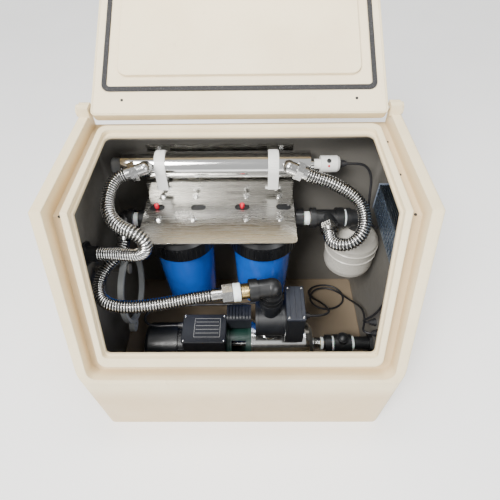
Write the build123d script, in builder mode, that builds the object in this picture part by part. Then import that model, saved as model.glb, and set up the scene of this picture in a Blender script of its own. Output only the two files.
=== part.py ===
from build123d import *
import os
from math import atan2, cos, pi, radians, sin, tan

# Water treatment cabinet: a moulded tub with a folded lid, and inside it a booster pump,
# two filter housings on a folded steel bracket, an ultraviolet chamber and a small pressure tank.
# Millimetres. X to the right, Y to the back, Z up, origin at the centre of the base.

# ---- driving dimensions -------------------------------------------------------------------
WIDTH = 760.0
DEPTH = 500.0
FRONT_HEIGHT = 266.0      # top of the upright front wall
TOP_HEIGHT = 672.0        # flat rear part of the rim
FOLD_Y = -101.0           # where the sloping front meets the flat top
WALL = 6.0
HINGE_Y = 234.0
HINGE_Z = 682.0
OPEN_ANGLE = 150.0        # the lid stands open; closing turns it back by this angle

PLATE_TOP = 484.0         # top face of the filter bracket
SHEET = 3.0
FILTER_X = (-158.0, 56.0)
FILTER_Y = 114.0
PORT_Z = 444.0
PUMP_Y = -59.0
PUMP_Z = 100.0
UV_Y = 196.0
UV_Z = 553.0
UV_RADIUS = 33.5
TEE_X = 222.0
TANK_X = 301.0
OUTLET_Y = -5.0
OUTLET_Z = 445.0
HOSE_D = 32.0
CABLE_D = 6.5

PIPE_R = 16.5             # outside of the one-inch threads
BORE_R = 12.5
NIPPLE = 40.0
NUT_FLATS = 42.0
ELBOW_R = 22.0
ARM = 30.0

SLOPE = atan2(TOP_HEIGHT - FRONT_HEIGHT, FOLD_Y + DEPTH / 2)
HINGE = Axis((0, HINGE_Y, HINGE_Z), (1, 0, 0))
PUMP_PLANE = Plane(origin=(0, PUMP_Y, PUMP_Z), x_dir=(0, 1, 0), z_dir=(1, 0, 0))
UV_PLANE = Plane(origin=(0, UV_Y, UV_Z), x_dir=(0, 1, 0), z_dir=(1, 0, 0))

os.makedirs("parts", exist_ok=True)


# ---- helpers ------------------------------------------------------------------------------
def rim_point(inset, depth):
    """(y, z) at a distance up the slope from the front edge and a depth under the slope."""
    y = -DEPTH / 2 + inset * cos(SLOPE) + depth * sin(SLOPE)
    z = FRONT_HEIGHT + inset * sin(SLOPE) - depth * cos(SLOPE)
    return (y, z)


def fold_point(depth):
    """(y, z) where the sloping face and the flat face meet, at that depth under both."""
    rise = TOP_HEIGHT - depth - FRONT_HEIGHT + depth * cos(SLOPE)
    return rim_point(rise / sin(SLOPE), depth)


def bent_slab(inset, top, bottom, back, corner=0.0, rear_corner=0.0, front=None):
    """A slab that follows the slope and the flat top, between two depths, inset from the rim.

    The front end has its own inset where the border is narrower or wider there.
    """
    front = inset if front is None else front
    with BuildPart() as slab:
        with BuildSketch(Plane.YZ):
            with BuildLine():
                Polyline(
                    rim_point(front, top),
                    fold_point(top),
                    (back, TOP_HEIGHT - top),
                    (back, TOP_HEIGHT - bottom),
                    fold_point(bottom),
                    rim_point(front, bottom),
                    close=True,
                )
            make_face()
        extrude(amount=WIDTH / 2 - inset, both=True)
        if corner:
            across = Axis((0, 0, 0), (0, sin(SLOPE), -cos(SLOPE)))
            fillet(slab.edges().filter_by(across), corner)
        if rear_corner:
            fillet(slab.edges().filter_by(Axis.Z).group_by(Axis.Y)[-1], rear_corner)
    return slab.part


def turned(plane, profile):
    """A solid of revolution about the plane's normal, from (distance along it, radius) points."""
    with BuildPart(mode=Mode.PRIVATE) as body:
        with BuildSketch(Plane(origin=plane.origin, x_dir=plane.z_dir, z_dir=plane.y_dir * -1)):
            with BuildLine():
                Polyline(*profile, close=True)
            make_face()
        revolve(axis=Axis(plane.origin, plane.z_dir))
    return body.part


def tube_along(plane, start, end, outer, inner=0.0):
    """A round bar or tube about the plane's normal."""
    low = inner if inner else 0.0
    return turned(plane, [(start, low), (end, low), (end, outer), (start, outer)])


def aimed(origin, direction):
    """A plane whose normal points along the direction."""
    return Plane(origin=origin, z_dir=direction)


def step(origin, direction, distance):
    """The point at that distance from the origin along the direction."""
    return Vector(*origin) + Vector(*direction).normalized() * distance


def hex_prism(plane, start, end, flats, bore=0.0):
    """A hexagonal nut between two distances along the plane's normal."""
    with BuildPart(mode=Mode.PRIVATE) as nut:
        with BuildSketch(plane.offset(start)):
            RegularPolygon(radius=flats / 2, side_count=6, major_radius=False)
            if bore:
                Circle(bore, mode=Mode.SUBTRACT)
        extrude(amount=end - start)
    return nut.part


def elbow(centre, first, second, radius, first_arm, second_arm, socket=7.0):
    """A pipe elbow with a ball at its corner, and a collar and socket on its first arm."""
    one, two = aimed(centre, first), aimed(centre, second)
    with BuildPart(mode=Mode.PRIVATE) as fitting:
        add(tube_along(one, 0, first_arm, radius))
        add(tube_along(two, 0, second_arm, radius))
        with Locations(centre):
            Sphere(radius + 0.3)
        if socket:
            add(tube_along(one, first_arm - 12, first_arm, radius + 4))
        bore = min(BORE_R, radius - 4)
        add(tube_along(one, 0, first_arm, bore), mode=Mode.SUBTRACT)
        add(tube_along(two, 0, second_arm, bore), mode=Mode.SUBTRACT)
        if socket:
            add(tube_along(one, first_arm - socket, first_arm, PIPE_R), mode=Mode.SUBTRACT)
        with Locations(centre):
            Sphere(bore + 0.3, mode=Mode.SUBTRACT)
    return fitting.part


def cord_route(start, start_aim, middle, end, end_aim, lead):
    """A route that leaves and meets its fittings square to them."""
    first = tuple(step(start, start_aim, lead))
    last = tuple(step(end, end_aim, lead))
    return [tuple(start), first, *middle, last, tuple(end)]


def bend_radii(points):
    """The largest easy radius at each inner point of a route."""
    radii = []
    for before, here, after in zip(points, points[1:], points[2:]):
        first, second = Vector(*here) - Vector(*before), Vector(*after) - Vector(*here)
        half_turn = radians(first.get_angle(second)) / 2
        radii.append(0.45 * min(first.length, second.length) / tan(half_turn))
    return radii


def swept_tube(name, points, diameter):
    """A plain round cord along straight runs joined by tangent arcs."""
    radii = bend_radii(points)
    with BuildPart(mode=Mode.PRIVATE) as tube:
        with BuildLine() as route:
            FilletPolyline(*points, radius=radii)
        path = route.wire()
        with BuildSketch(Plane(origin=path @ 0, z_dir=path % 0)):
            Circle(diameter / 2)
        sweep(path=path)
    expected = path.length * pi * diameter**2 / 4
    print(
        f"{name}: length {path.length:.0f}, tightest radius {min(radii):.0f} "
        f"({min(radii) / diameter:.1f} diameters), volume ratio {tube.part.volume / expected:.3f}"
    )
    return tube.part


# ---- cabinet and lid ----------------------------------------------------------------------
LIP = 26.0                # width of the raised outer lip at the sides
LIP_FRONT = 10.0
RIM_ROUND = 7.0           # rounding along the outer edges of the side lips
GUTTER_DEPTH = 36.0
COAMING = (57.0, 71.0)    # inset of the seal rib's two sides
COAMING_FRONT = 45.0
COAMING_DEPTH = 6.0
LEDGE_DEPTH = 16.0
OPENING_INSET = 76.0
COAMING_BACK = 196.0
OPENING_BACK = 167.0
BOSS_R = 14.0
PIN_R = 5.0
WALL_HOLE_R = 22.0
GLAND_HOLE_R = 6.0
MAINS_GLAND = (374.0, -75.0, 185.0)
PEG_Y = 14.0
PEG_Z = 364.0
PEG_R = 8.0
PEG_END = -286.0


def cabinet_cavity():
    """The space inside the walls, under the gutter."""
    ceiling = GUTTER_DEPTH + WALL
    half_depth = DEPTH / 2 - WALL
    with BuildPart() as cavity:
        with BuildSketch(Plane.YZ):
            with BuildLine():
                Polyline(
                    (-half_depth, WALL),
                    (-half_depth, FRONT_HEIGHT - 50),
                    rim_point(LIP_FRONT, ceiling),
                    fold_point(ceiling),
                    (half_depth, TOP_HEIGHT - ceiling),
                    (half_depth, WALL),
                    close=True,
                )
            make_face()
        extrude(amount=WIDTH / 2 - WALL, both=True)
        fillet(cavity.edges().filter_by(Axis.Z).group_by(Axis.Y)[-1], 14)
    return cavity.part


def make_cabinet_tub():
    cavity = cabinet_cavity()
    side_lips = bent_slab(WALL, WALL, 60, DEPTH / 2 - WALL, front=40)
    side_lips -= bent_slab(LIP - WALL, 0, 70, DEPTH, front=0)
    gutter = bent_slab(LIP, -20, GUTTER_DEPTH, DEPTH, corner=24, front=LIP_FRONT)
    rib = (COAMING[0], COAMING_DEPTH, GUTTER_DEPTH + 1, COAMING_BACK)
    gutter -= bent_slab(*rib, corner=20, rear_corner=20, front=COAMING_FRONT)
    under_rib = (COAMING[0] + WALL, LEDGE_DEPTH + WALL, 60, COAMING_BACK - WALL)
    rib_hollow = bent_slab(*under_rib, corner=14, rear_corner=14, front=COAMING_FRONT + WALL)
    ledge_back = (OPENING_BACK + COAMING_BACK) / 2 - 2
    pocket = bent_slab(COAMING[1], -20, LEDGE_DEPTH, ledge_back, corner=12, rear_corner=18)
    mouth = bent_slab(OPENING_INSET, -20, 60, OPENING_BACK, corner=10, rear_corner=16)
    with BuildPart() as cabinet_tub:
        with BuildSketch(Plane.YZ):
            with BuildLine():
                Polyline(
                    (-DEPTH / 2, 0),
                    (-DEPTH / 2, FRONT_HEIGHT),
                    (FOLD_Y, TOP_HEIGHT),
                    (DEPTH / 2, TOP_HEIGHT),
                    (DEPTH / 2, 0),
                    close=True,
                )
            make_face()
        extrude(amount=WIDTH / 2, both=True)
        fillet(cabinet_tub.edges().filter_by(Axis.Z), 20)
        slant = Axis((0, 0, 0), (0, cos(SLOPE), sin(SLOPE)))
        side_edges = cabinet_tub.edges().filter_by(slant)
        side_edges += cabinet_tub.edges().filter_by(Axis.Y).group_by(Axis.Z)[-1]
        fillet(side_edges, RIM_ROUND)
        for hollow in (cavity, side_lips, gutter, rib_hollow, pocket, mouth):
            add(hollow, mode=Mode.SUBTRACT)
        for side in (-1, 1):
            boss = Plane(origin=(0, HINGE_Y, HINGE_Z), x_dir=(0, 1, 0), z_dir=(side, 0, 0))
            add(tube_along(boss, 349, WIDTH / 2 - 1, BOSS_R))
            with BuildSketch(boss.offset(349)):
                Rectangle(2 * BOSS_R, 2 * BOSS_R - 2)
            extrude(amount=26)
            add(tube_along(boss, 340, 377, PIN_R), mode=Mode.SUBTRACT)
        peg = Plane(origin=(-WIDTH / 2 + 3, PEG_Y, PEG_Z), x_dir=(0, 1, 0), z_dir=(1, 0, 0))
        reach = PEG_END + WIDTH / 2 - 3
        add(tube_along(peg, 0, reach, PEG_R))
        add(tube_along(peg, reach - 4, reach, PEG_R + 5))
        inlet = Plane(origin=(WIDTH / 2, PUMP_Y, PUMP_Z), x_dir=(0, 1, 0), z_dir=(1, 0, 0))
        outlet = Plane(origin=(-WIDTH / 2, OUTLET_Y, OUTLET_Z), x_dir=(0, 1, 0), z_dir=(-1, 0, 0))
        mains = aimed(MAINS_GLAND, (1, 0, 0))
        add(tube_along(inlet, -2 * WALL, WALL, WALL_HOLE_R), mode=Mode.SUBTRACT)
        add(tube_along(outlet, -2 * WALL, WALL, WALL_HOLE_R), mode=Mode.SUBTRACT)
        add(tube_along(mains, -WALL, 2 * WALL, GLAND_HOLE_R), mode=Mode.SUBTRACT)
    return cabinet_tub.part


LID_INSET = 37.0
LID_OUTER = -24.0         # depth of the lid's outer face: above the rim
LID_INNER = 3.0
LID_SKIN = 4.0
LINER = 6.0
LID_BACK = HINGE_Y + 20
GASKET = (58.5, 69.5)
GASKET_BACK = (194.0, 182.0)
HINGE_BLOCK = 24.0


def opened(piece):
    """The lid's pieces are drawn closed and stored open."""
    return piece.rotate(HINGE, -OPEN_ANGLE)


def make_lid_shell():
    outer = bent_slab(LID_INSET, LID_OUTER, LID_INNER, LID_BACK, corner=30, rear_corner=12)
    inset = LID_INSET + LID_SKIN
    inner = bent_slab(inset, LID_OUTER + LID_SKIN, LID_INNER + 1, LID_BACK - LID_SKIN, 26, 8)
    block_z = TOP_HEIGHT - LID_OUTER - LID_SKIN
    with BuildPart() as lid_shell:
        add(outer)
        fillet(lid_shell.edges().filter_by(Axis.X).group_by(Axis.Z)[-1], 6)
        add(inner, mode=Mode.SUBTRACT)
        for side in (-1, 1):
            x = side * (WIDTH / 2 - LID_INSET - HINGE_BLOCK / 2 - 1)
            top = block_z + 1
            bottom = TOP_HEIGHT - LID_INNER + LINER + 0.2
            with Locations((x, HINGE_Y, (top + bottom) / 2)):
                Box(HINGE_BLOCK, HINGE_BLOCK, top - bottom)
        pin_hole = Plane(origin=(0, HINGE_Y, HINGE_Z), x_dir=(0, 1, 0), z_dir=(1, 0, 0))
        half = WIDTH / 2 - LID_INSET
        add(tube_along(pin_hole, half - 22, half + 1, PIN_R + 0.05), mode=Mode.SUBTRACT)
        add(tube_along(pin_hole, -half - 1, -half + 22, PIN_R + 0.05), mode=Mode.SUBTRACT)
    return opened(lid_shell.part)


def seal_ring(top, bottom):
    ring = bent_slab(GASKET[0], top, bottom, GASKET_BACK[0], corner=19, rear_corner=19)
    return ring - bent_slab(GASKET[1], top - 2, bottom + 2, GASKET_BACK[1], 10, 10)


def make_lid_liner():
    inset = LID_INSET + LID_SKIN
    panel = bent_slab(inset, LID_INNER - LINER, LID_INNER, LID_BACK - LID_SKIN, 26, 8)
    raised = bent_slab(94, LID_INNER - 1, LID_INNER + 7, 156, corner=24, rear_corner=24)
    with BuildPart() as lid_liner:
        add(panel)
        add(raised)
        add(seal_ring(LID_INNER - 3.5, LID_INNER + 2), mode=Mode.SUBTRACT)
    return opened(lid_liner.part)


def make_lid_gasket():
    return opened(seal_ring(LID_INNER - 3.5, COAMING_DEPTH - 0.4))


def make_hinge_pins():
    length = 57.0
    with BuildPart() as hinge_pins:
        for side in (-1, 1):
            start = Plane(origin=(side * 320, HINGE_Y, HINGE_Z), x_dir=(0, 1, 0), z_dir=(side, 0, 0))
            add(tube_along(start, 2, length, PIN_R))
    return hinge_pins.part


# ---- filter bracket and filters -----------------------------------------------------------
PLATE_X = (-240.0, 134.0)
PLATE_FRONT = -8.0
RISER_Y = 168.0
SHELF_TOP = UV_Z - UV_RADIUS
REAR_WALL_Y = DEPTH / 2 - WALL
BOLT_PITCH = 84.0
SLOT_X = 52.0
SLOT = (38.0, 22.0)
CAP_R = 92.0
CAP_LOW = 379.0
NECK_R = 77.0
NECK_TOP = 425.0
SUMP_LOW = 148.0
SUMP_WALL = 5.0
PORT_REACH = 104.0
BUTTON_X = -52.0
STEM_R = 3.5
SPRING_TRAVEL = 3.0


def filter_planes():
    return [Plane(origin=(x, FILTER_Y, 0), z_dir=(0, 0, 1)) for x in FILTER_X]


def make_filter_bracket():
    low = PLATE_TOP - SHEET
    middle = (PLATE_X[0] + PLATE_X[1]) / 2
    span = PLATE_X[1] - PLATE_X[0]
    with BuildPart() as filter_bracket:
        with BuildSketch(Plane.YZ.offset(PLATE_X[0])):
            with BuildLine():
                Polyline(
                    (PLATE_FRONT, low),
                    (RISER_Y + SHEET, low),
                    (RISER_Y + SHEET, SHELF_TOP - SHEET),
                    (REAR_WALL_Y, SHELF_TOP - SHEET),
                    (REAR_WALL_Y, SHELF_TOP + 62),
                    (REAR_WALL_Y - SHEET, SHELF_TOP + 62),
                    (REAR_WALL_Y - SHEET, SHELF_TOP),
                    (RISER_Y, SHELF_TOP),
                    (RISER_Y, PLATE_TOP),
                    (PLATE_FRONT, PLATE_TOP),
                    close=True,
                )
            make_face()
        extrude(amount=span)
        fillet(filter_bracket.edges().filter_by(Axis.Z).group_by(Axis.Y)[0], 10)
        with BuildSketch(Plane.XY.offset(PLATE_TOP)):
            for x in FILTER_X:
                with Locations((x, FILTER_Y)):
                    with GridLocations(BOLT_PITCH, BOLT_PITCH, 2, 2):
                        Circle(4.5)
                with Locations((x, FILTER_Y)):
                    with GridLocations(2 * SLOT_X, 0, 2, 1):
                        SlotOverall(*SLOT)
                with Locations((x, FILTER_Y - BOLT_PITCH / 2)):
                    Circle(3)
        extrude(amount=-SHEET - 1, mode=Mode.SUBTRACT)
        with BuildSketch(Plane.XZ.offset(-REAR_WALL_Y)):
            with Locations((middle, SHELF_TOP + 48)):
                with GridLocations(span - 60, 0, 2, 1):
                    Circle(3.5)
        extrude(amount=SHEET + 1, mode=Mode.SUBTRACT)
    return filter_bracket.part


def hex_bolt(plane, grip, radius, flats, head):
    """Washer and hexagon head in one turned piece, with its shank through the sheet."""
    with BuildPart(mode=Mode.PRIVATE) as bolt:
        add(tube_along(plane, 0, 1.6, flats / 2 + 4))
        add(hex_prism(plane, 1.6, 1.6 + head, flats))
        add(tube_along(plane, -grip, 1, radius))
    return bolt.part


def make_bracket_bolts():
    with BuildPart() as bracket_bolts:
        for x in FILTER_X:
            for dx in (-1, 1):
                for dy in (-1, 1):
                    spot = (x + dx * BOLT_PITCH / 2, FILTER_Y + dy * BOLT_PITCH / 2, PLATE_TOP)
                    add(hex_bolt(Plane(origin=spot, z_dir=(0, 0, 1)), 14, 4.0, 11, 5))
        for x in (PLATE_X[0] + 30, PLATE_X[1] - 30):
            spot = (x, REAR_WALL_Y - SHEET, SHELF_TOP + 48)
            add(hex_bolt(aimed(spot, (0, -1, 0)), SHEET, 3.4, 10, 4))
    return bracket_bolts.part


def make_filter_cap(index):
    centre = filter_planes()[index]
    low = PLATE_TOP - SHEET
    with BuildPart() as filter_cap:
        add(
            turned(
                centre,
                [
                    (CAP_LOW, NECK_R + 0.4),
                    (430, NECK_R + 0.4),
                    (430, 70),
                    (456, 70),
                    (456, 0),
                    (low, 0),
                    (low, 76),
                    (low - 6, 84),
                    (434, 85),
                    (424, CAP_R),
                    (CAP_LOW, CAP_R),
                ],
            )
        )
        for side in (-1, 1):
            port = Plane(
                origin=(FILTER_X[index], FILTER_Y, PORT_Z), x_dir=(0, 1, 0), z_dir=(side, 0, 0)
            )
            add(tube_along(port, 78, PORT_REACH, 24))
            add(tube_along(port, 60, PORT_REACH, BORE_R), mode=Mode.SUBTRACT)
            add(tube_along(port, PORT_REACH - 20, PORT_REACH + 1, PIPE_R), mode=Mode.SUBTRACT)
        with BuildSketch(Plane.XY.offset(low)):
            with Locations((FILTER_X[index], FILTER_Y)):
                with GridLocations(BOLT_PITCH, BOLT_PITCH, 2, 2):
                    Circle(4.0)
        extrude(amount=-12, mode=Mode.SUBTRACT)
        with BuildSketch(Plane.XY.offset(low)):
            with Locations((FILTER_X[index] + BUTTON_X, FILTER_Y)):
                Circle(STEM_R + 0.05)
        extrude(amount=-30, mode=Mode.SUBTRACT)
    return filter_cap.part


def make_filter_sump(index):
    with BuildPart() as filter_sump:
        add(
            turned(
                filter_planes()[index],
                [
                    (SUMP_LOW, 0),
                    (SUMP_LOW, 62),
                    (SUMP_LOW + 10, 72),
                    (CAP_LOW - 10, 80),
                    (CAP_LOW - 8, 84),
                    (CAP_LOW, 84),
                    (CAP_LOW, NECK_R),
                    (NECK_TOP, NECK_R),
                    (NECK_TOP, NECK_R - SUMP_WALL),
                    (CAP_LOW - 10, NECK_R - SUMP_WALL),
                    (SUMP_LOW + 14, 66),
                    (SUMP_LOW + 8, 58),
                    (SUMP_LOW + 8, 0),
                ],
            )
        )
    return filter_sump.part


def make_sump_seals():
    with BuildPart() as sump_seals:
        for plane in filter_planes():
            add(tube_along(plane, NECK_TOP, 430, NECK_R, NECK_R - 4))
    return sump_seals.part


def make_filter_cartridge(index):
    """A pleated element: the pleats are ribs round a hollow core, between two end discs."""
    plane = filter_planes()[index]
    with BuildPart() as cartridge:
        add(tube_along(plane, SUMP_LOW + 8, SUMP_LOW + 14, 56, 14))
        add(tube_along(plane, 450, 456, 56, 14))
        add(tube_along(plane, SUMP_LOW + 14, 450, 48, 18))
        with BuildSketch(plane.offset(SUMP_LOW + 14)):
            with PolarLocations(50, 36):
                Rectangle(9, 3)
        extrude(amount=450 - SUMP_LOW - 14)
    return cartridge.part


def make_relief_button(index):
    spot = (FILTER_X[index] + BUTTON_X, FILTER_Y, 0)
    plane = Plane(origin=spot, z_dir=(0, 0, 1))
    with BuildPart() as relief_button:
        add(tube_along(plane, 459, 486, STEM_R))
        add(tube_along(plane, PLATE_TOP - SHEET + SPRING_TRAVEL + 1, 494, 5.8))
        with Locations((spot[0], spot[1], 494)):
            Sphere(5.8, arc_size1=0)
    return relief_button.part


def make_link_nipples():
    """Four identical threaded nipples: left port, between the housings, right port, pump inlet."""
    left_port = FILTER_X[0] - PORT_REACH
    right_port = FILTER_X[1] + PORT_REACH
    middle = (FILTER_X[0] + FILTER_X[1]) / 2
    starts = [
        (left_port - 20, FILTER_Y, PORT_Z),
        (middle - NIPPLE / 2, FILTER_Y, PORT_Z),
        (right_port - 20, FILTER_Y, PORT_Z),
        (200, PUMP_Y, PUMP_Z),
    ]
    with BuildPart() as link_nipples:
        for start in starts:
            add(tube_along(aimed(start, (1, 0, 0)), 0, NIPPLE, PIPE_R, BORE_R))
    return link_nipples.part


def make_filter_wrench():
    """Ring spanner for the housings, with a hanging ear, on its peg."""
    radius = 98.0
    centre = (0, PEG_Y, PEG_Z + PEG_R - 88)
    with BuildPart() as filter_wrench:
        with BuildSketch(Plane.YZ.offset(-307)):
            with Locations((centre[1], centre[2])):
                Circle(radius)
            with Locations((centre[1] - 70, centre[2] - 78)):
                Circle(20)
            with Locations((centre[1], centre[2])):
                Circle(88, mode=Mode.SUBTRACT)
            with Locations((centre[1] - 70, centre[2] - 78)):
                Circle(6, mode=Mode.SUBTRACT)
        extrude(amount=14)
    return filter_wrench.part


# ---- pipework -----------------------------------------------------------------------------
INLET_ELBOW = (FILTER_X[0] - PORT_REACH - 36, FILTER_Y, PORT_Z)
INLET_AIM = (0, -0.94, -0.34)
TEE = (TEE_X, FILTER_Y, PORT_Z)
TANK_ELBOW = (TANK_X, FILTER_Y, PORT_Z)
PORT_RAY = (0, -cos(radians(30)), sin(radians(30)))
UV_PORTS = (-228.0, 118.0)
UV_ELBOW_REACH = 60.0
UV_OUT = ((-0.93, -0.33, -0.15), (0.93, -0.184, -0.318))
UV_ARM = 18.0
CONTROLLER = (75.0, PUMP_Y)
PUMP_ELBOW = (CONTROLLER[0], CONTROLLER[1], 378.0)
FEED_AIM = (-0.989, -0.148, 0.0)
FEED_ARM = 95.0
STUB = 32.0


def uv_elbow_centre(index):
    return tuple(step((UV_PORTS[index], UV_Y, UV_Z), PORT_RAY, UV_ELBOW_REACH))


def hose_ends():
    """Where each nut sits: its base, the way its hose leaves, nut length and ferrule length."""
    ends = {
        "pump": (step(PUMP_ELBOW, FEED_AIM, FEED_ARM), FEED_AIM, 25, 25),
        "filter": (step(INLET_ELBOW, INLET_AIM, ARM), INLET_AIM, 20, 14),
        "tee": (step(TEE, (0, -1, 0), ARM), (0, -1, 0), 18, 12),
        "uv_left": (step(uv_elbow_centre(0), UV_OUT[0], UV_ARM), UV_OUT[0], 16, 11),
        "uv_right": (step(uv_elbow_centre(1), UV_OUT[1], UV_ARM), UV_OUT[1], 16, 11),
    }
    return ends


def hose_start(name):
    base, aim, nut, ferrule = hose_ends()[name]
    return tuple(step(tuple(base), aim, nut + ferrule))


def make_hose_nuts():
    with BuildPart() as hose_nuts:
        for base, aim, nut, ferrule in hose_ends().values():
            plane = aimed(base, aim)
            add(hex_prism(plane, 0, nut, NUT_FLATS, BORE_R))
            add(tube_along(plane, nut, nut + ferrule, HOSE_D / 2, BORE_R))
    return hose_nuts.part


def make_filter_inlet_elbow():
    return elbow(INLET_ELBOW, (1, 0, 0), INLET_AIM, ELBOW_R, ARM - 7, ARM)


def make_outlet_tee():
    run = aimed(TEE, (1, 0, 0))
    branch = aimed(TEE, (0, -1, 0))
    with BuildPart() as outlet_tee:
        add(tube_along(run, -45, 42, ELBOW_R))
        add(tube_along(branch, 0, ARM, ELBOW_R))
        add(tube_along(run, -45, -30, ELBOW_R + 5))
        add(tube_along(run, 20, 40, ELBOW_R + 5))
        add(tube_along(run, 42, 56, PIPE_R))
        add(tube_along(run, -46, 57, BORE_R), mode=Mode.SUBTRACT)
        add(tube_along(branch, 0, ARM + 1, BORE_R), mode=Mode.SUBTRACT)
        add(tube_along(run, -46, -40, PIPE_R), mode=Mode.SUBTRACT)
    return outlet_tee.part


def make_tank_elbow():
    return elbow(TANK_ELBOW, (-1, 0, 0), (0, 0, -1), ELBOW_R, TANK_X - TEE_X - 46, ARM, socket=10)


def make_pressure_tank():
    plane = Plane(origin=(TANK_X, FILTER_Y, 0), z_dir=(0, 0, 1))
    wall = 2.5
    outer = [
        (258, 0),
        (258, 30),
        (264, 52),
        (276, 65),
        (290, 68),
        (330, 68),
        (332, 70),
        (335, 70),
        (337, 68),
        (357, 68),
        (359, 70),
        (362, 70),
        (364, 68),
        (376, 66),
        (392, 56),
        (403, 40),
        (408, 22),
        (414, 22),
    ]
    inner = [
        (414, BORE_R),
        (405, BORE_R),
        (400, 38),
        (390, 53),
        (374, 66 - wall),
        (290, 68 - wall),
        (278, 62),
        (267, 50),
        (258 + wall, 30),
        (258 + wall, 0),
    ]
    return turned(plane, outer + inner)


PUMP_ROUTE = [
    (-150, -94, 374),
    (-200, -102, 371),
    (-244, -107, 370),
    (-280, -107, 370),
    (-314, -100, 370),
    (-338, -82, 371),
    (-348, -56, 376),
    (-346, -30, 384),
    (-336, -8, 393),
    (-320, 8, 402),
    (-305, 22, 410),
]

OUTLET_ROUTE = [
    (-294, 114, 571),
    (-302, 92, 565),
    (-304, 62, 556),
    (-298, 32, 547),
    (-280, 6, 540),
    (-257, -8, 534),
    (-232, -18, 530),
    (-213, -23, 511),
    (-213, -27, 484),
    (-233, -26, 464),
    (-262, -20, 458),
    (-292, -11, 451),
]

FEED_ROUTE = [
    (236, 13, 452),
    (258, 5, 461),
    (281, 14, 473),
    (296, 36, 486),
    (299, 62, 500),
    (292, 88, 515),
    (272, 104, 530),
    (244, 114, 544),
    (213, 123, 556),
]


def make_pump_hose():
    points = cord_route(
        hose_start("pump"), FEED_AIM, PUMP_ROUTE, hose_start("filter"), INLET_AIM, 18
    )
    return swept_tube("pump_hose", points, HOSE_D)


def make_outlet_hose():
    stub_end = (-WIDTH / 2 + WALL + STUB, OUTLET_Y, OUTLET_Z)
    points = cord_route(hose_start("uv_left"), UV_OUT[0], OUTLET_ROUTE, stub_end, (1, 0, 0), 14)
    return swept_tube("outlet_hose", points, HOSE_D)


def make_uv_feed_hose():
    points = cord_route(
        hose_start("tee"), (0, -1, 0), FEED_ROUTE, hose_start("uv_right"), UV_OUT[1], 22
    )
    return swept_tube("uv_feed_hose", points, HOSE_D)


def make_bulkheads():
    """Two identical threaded wall fittings, each with its locknut."""
    spots = [((-1, 0, 0), OUTLET_Y, OUTLET_Z), ((1, 0, 0), PUMP_Y, PUMP_Z)]
    thread_r = 15.15
    with BuildPart() as bulkheads:
        for aim, y, z in spots:
            wall = aimed((aim[0] * (WIDTH / 2 - WALL), y, z), aim)
            add(tube_along(wall, -STUB, WALL, 19))
            add(tube_along(wall, 0, WALL, WALL_HOLE_R))
            add(hex_prism(wall, WALL, WALL + 12, 54))
            add(tube_along(wall, -STUB - 1, WALL + 13, BORE_R), mode=Mode.SUBTRACT)
            add(tube_along(wall, WALL - 8, WALL + 13, thread_r), mode=Mode.SUBTRACT)
        for aim, y, z in spots:
            wall = aimed((aim[0] * (WIDTH / 2 - WALL), y, z), aim)
            add(hex_prism(wall, -9, 0, 54, 19))
    return bulkheads.part


# ---- ultraviolet chamber ------------------------------------------------------------------
UV_X = (-293.0, 173.0)
STRAPS = (-197.0, 82.0)
STRAP_WIDTH = 26.0


def make_uv_chamber():
    left, right = UV_X
    with BuildPart() as uv_chamber:
        add(
            turned(
                UV_PLANE,
                [
                    (left - 10, 13),
                    (left - 10, 15),
                    (left, 15),
                    (left, UV_RADIUS),
                    (right, UV_RADIUS),
                    (right, 15),
                    (right + 10, 15),
                    (right + 10, 13),
                    (right - 2, 13),
                    (right - 2, UV_RADIUS - 2),
                    (left + 2, UV_RADIUS - 2),
                    (left + 2, 13),
                ],
            )
        )
        for x in UV_PORTS:
            port = aimed((x, UV_Y, UV_Z), PORT_RAY)
            add(tube_along(port, UV_RADIUS - 1.5, 44, 13))
            add(tube_along(port, UV_RADIUS - 4, 45, 10), mode=Mode.SUBTRACT)
    return uv_chamber.part


def make_uv_end_plug():
    left = UV_X[0]
    return turned(
        UV_PLANE,
        [
            (left - 30, 0),
            (left - 30, 15),
            (left - 26, 19),
            (left - 4, 19),
            (left - 4, 15),
            (left - 10, 15),
            (left - 10, 11.5),
            (left - 18, 11.5),
            (left - 18, 0),
        ],
    )


def make_quartz_sleeve():
    with BuildPart() as quartz_sleeve:
        add(tube_along(UV_PLANE, UV_X[0] - 18, UV_X[1] + 10, 11.5, 10))
    return quartz_sleeve.part


def make_uv_lamp():
    with BuildPart() as uv_lamp:
        add(tube_along(UV_PLANE, UV_X[0] + 8, UV_X[1] - 12, 7.8))
        add(tube_along(UV_PLANE, UV_X[1] - 12, UV_X[1] + 46, 8.6))
    return uv_lamp.part


def make_lamp_cap():
    start = UV_X[1] + 10
    return turned(
        UV_PLANE,
        [
            (start, 8.8),
            (start, 12.5),
            (start + 17, 12.5),
            (start + 17, 20.7),
            (start + 58, 20.7),
            (start + 64, 17),
            (start + 64, 4),
            (start + 36, 4),
            (start + 36, 8.8),
        ],
    )


def make_uv_straps():
    leg_y = UV_Y - UV_RADIUS - 2.4
    with BuildPart() as uv_straps:
        for x in STRAPS:
            plane = Plane(origin=(x - STRAP_WIDTH / 2, UV_Y, UV_Z), x_dir=(0, 1, 0), z_dir=(1, 0, 0))
            with BuildSketch(plane):
                Circle(UV_RADIUS + 2.4)
                with Locations((-UV_RADIUS - 1.2, -26)):
                    Rectangle(2.4, 52)
                Circle(UV_RADIUS, mode=Mode.SUBTRACT)
                with Locations((0, -UV_RADIUS - 1.2)):
                    Rectangle(40, 4, mode=Mode.SUBTRACT)
            extrude(amount=STRAP_WIDTH)
            with Locations((x, leg_y + 5, UV_Z - 50)):
                Box(STRAP_WIDTH + 12, 2 * (RISER_Y - leg_y - 5), 3)
    return uv_straps.part


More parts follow.
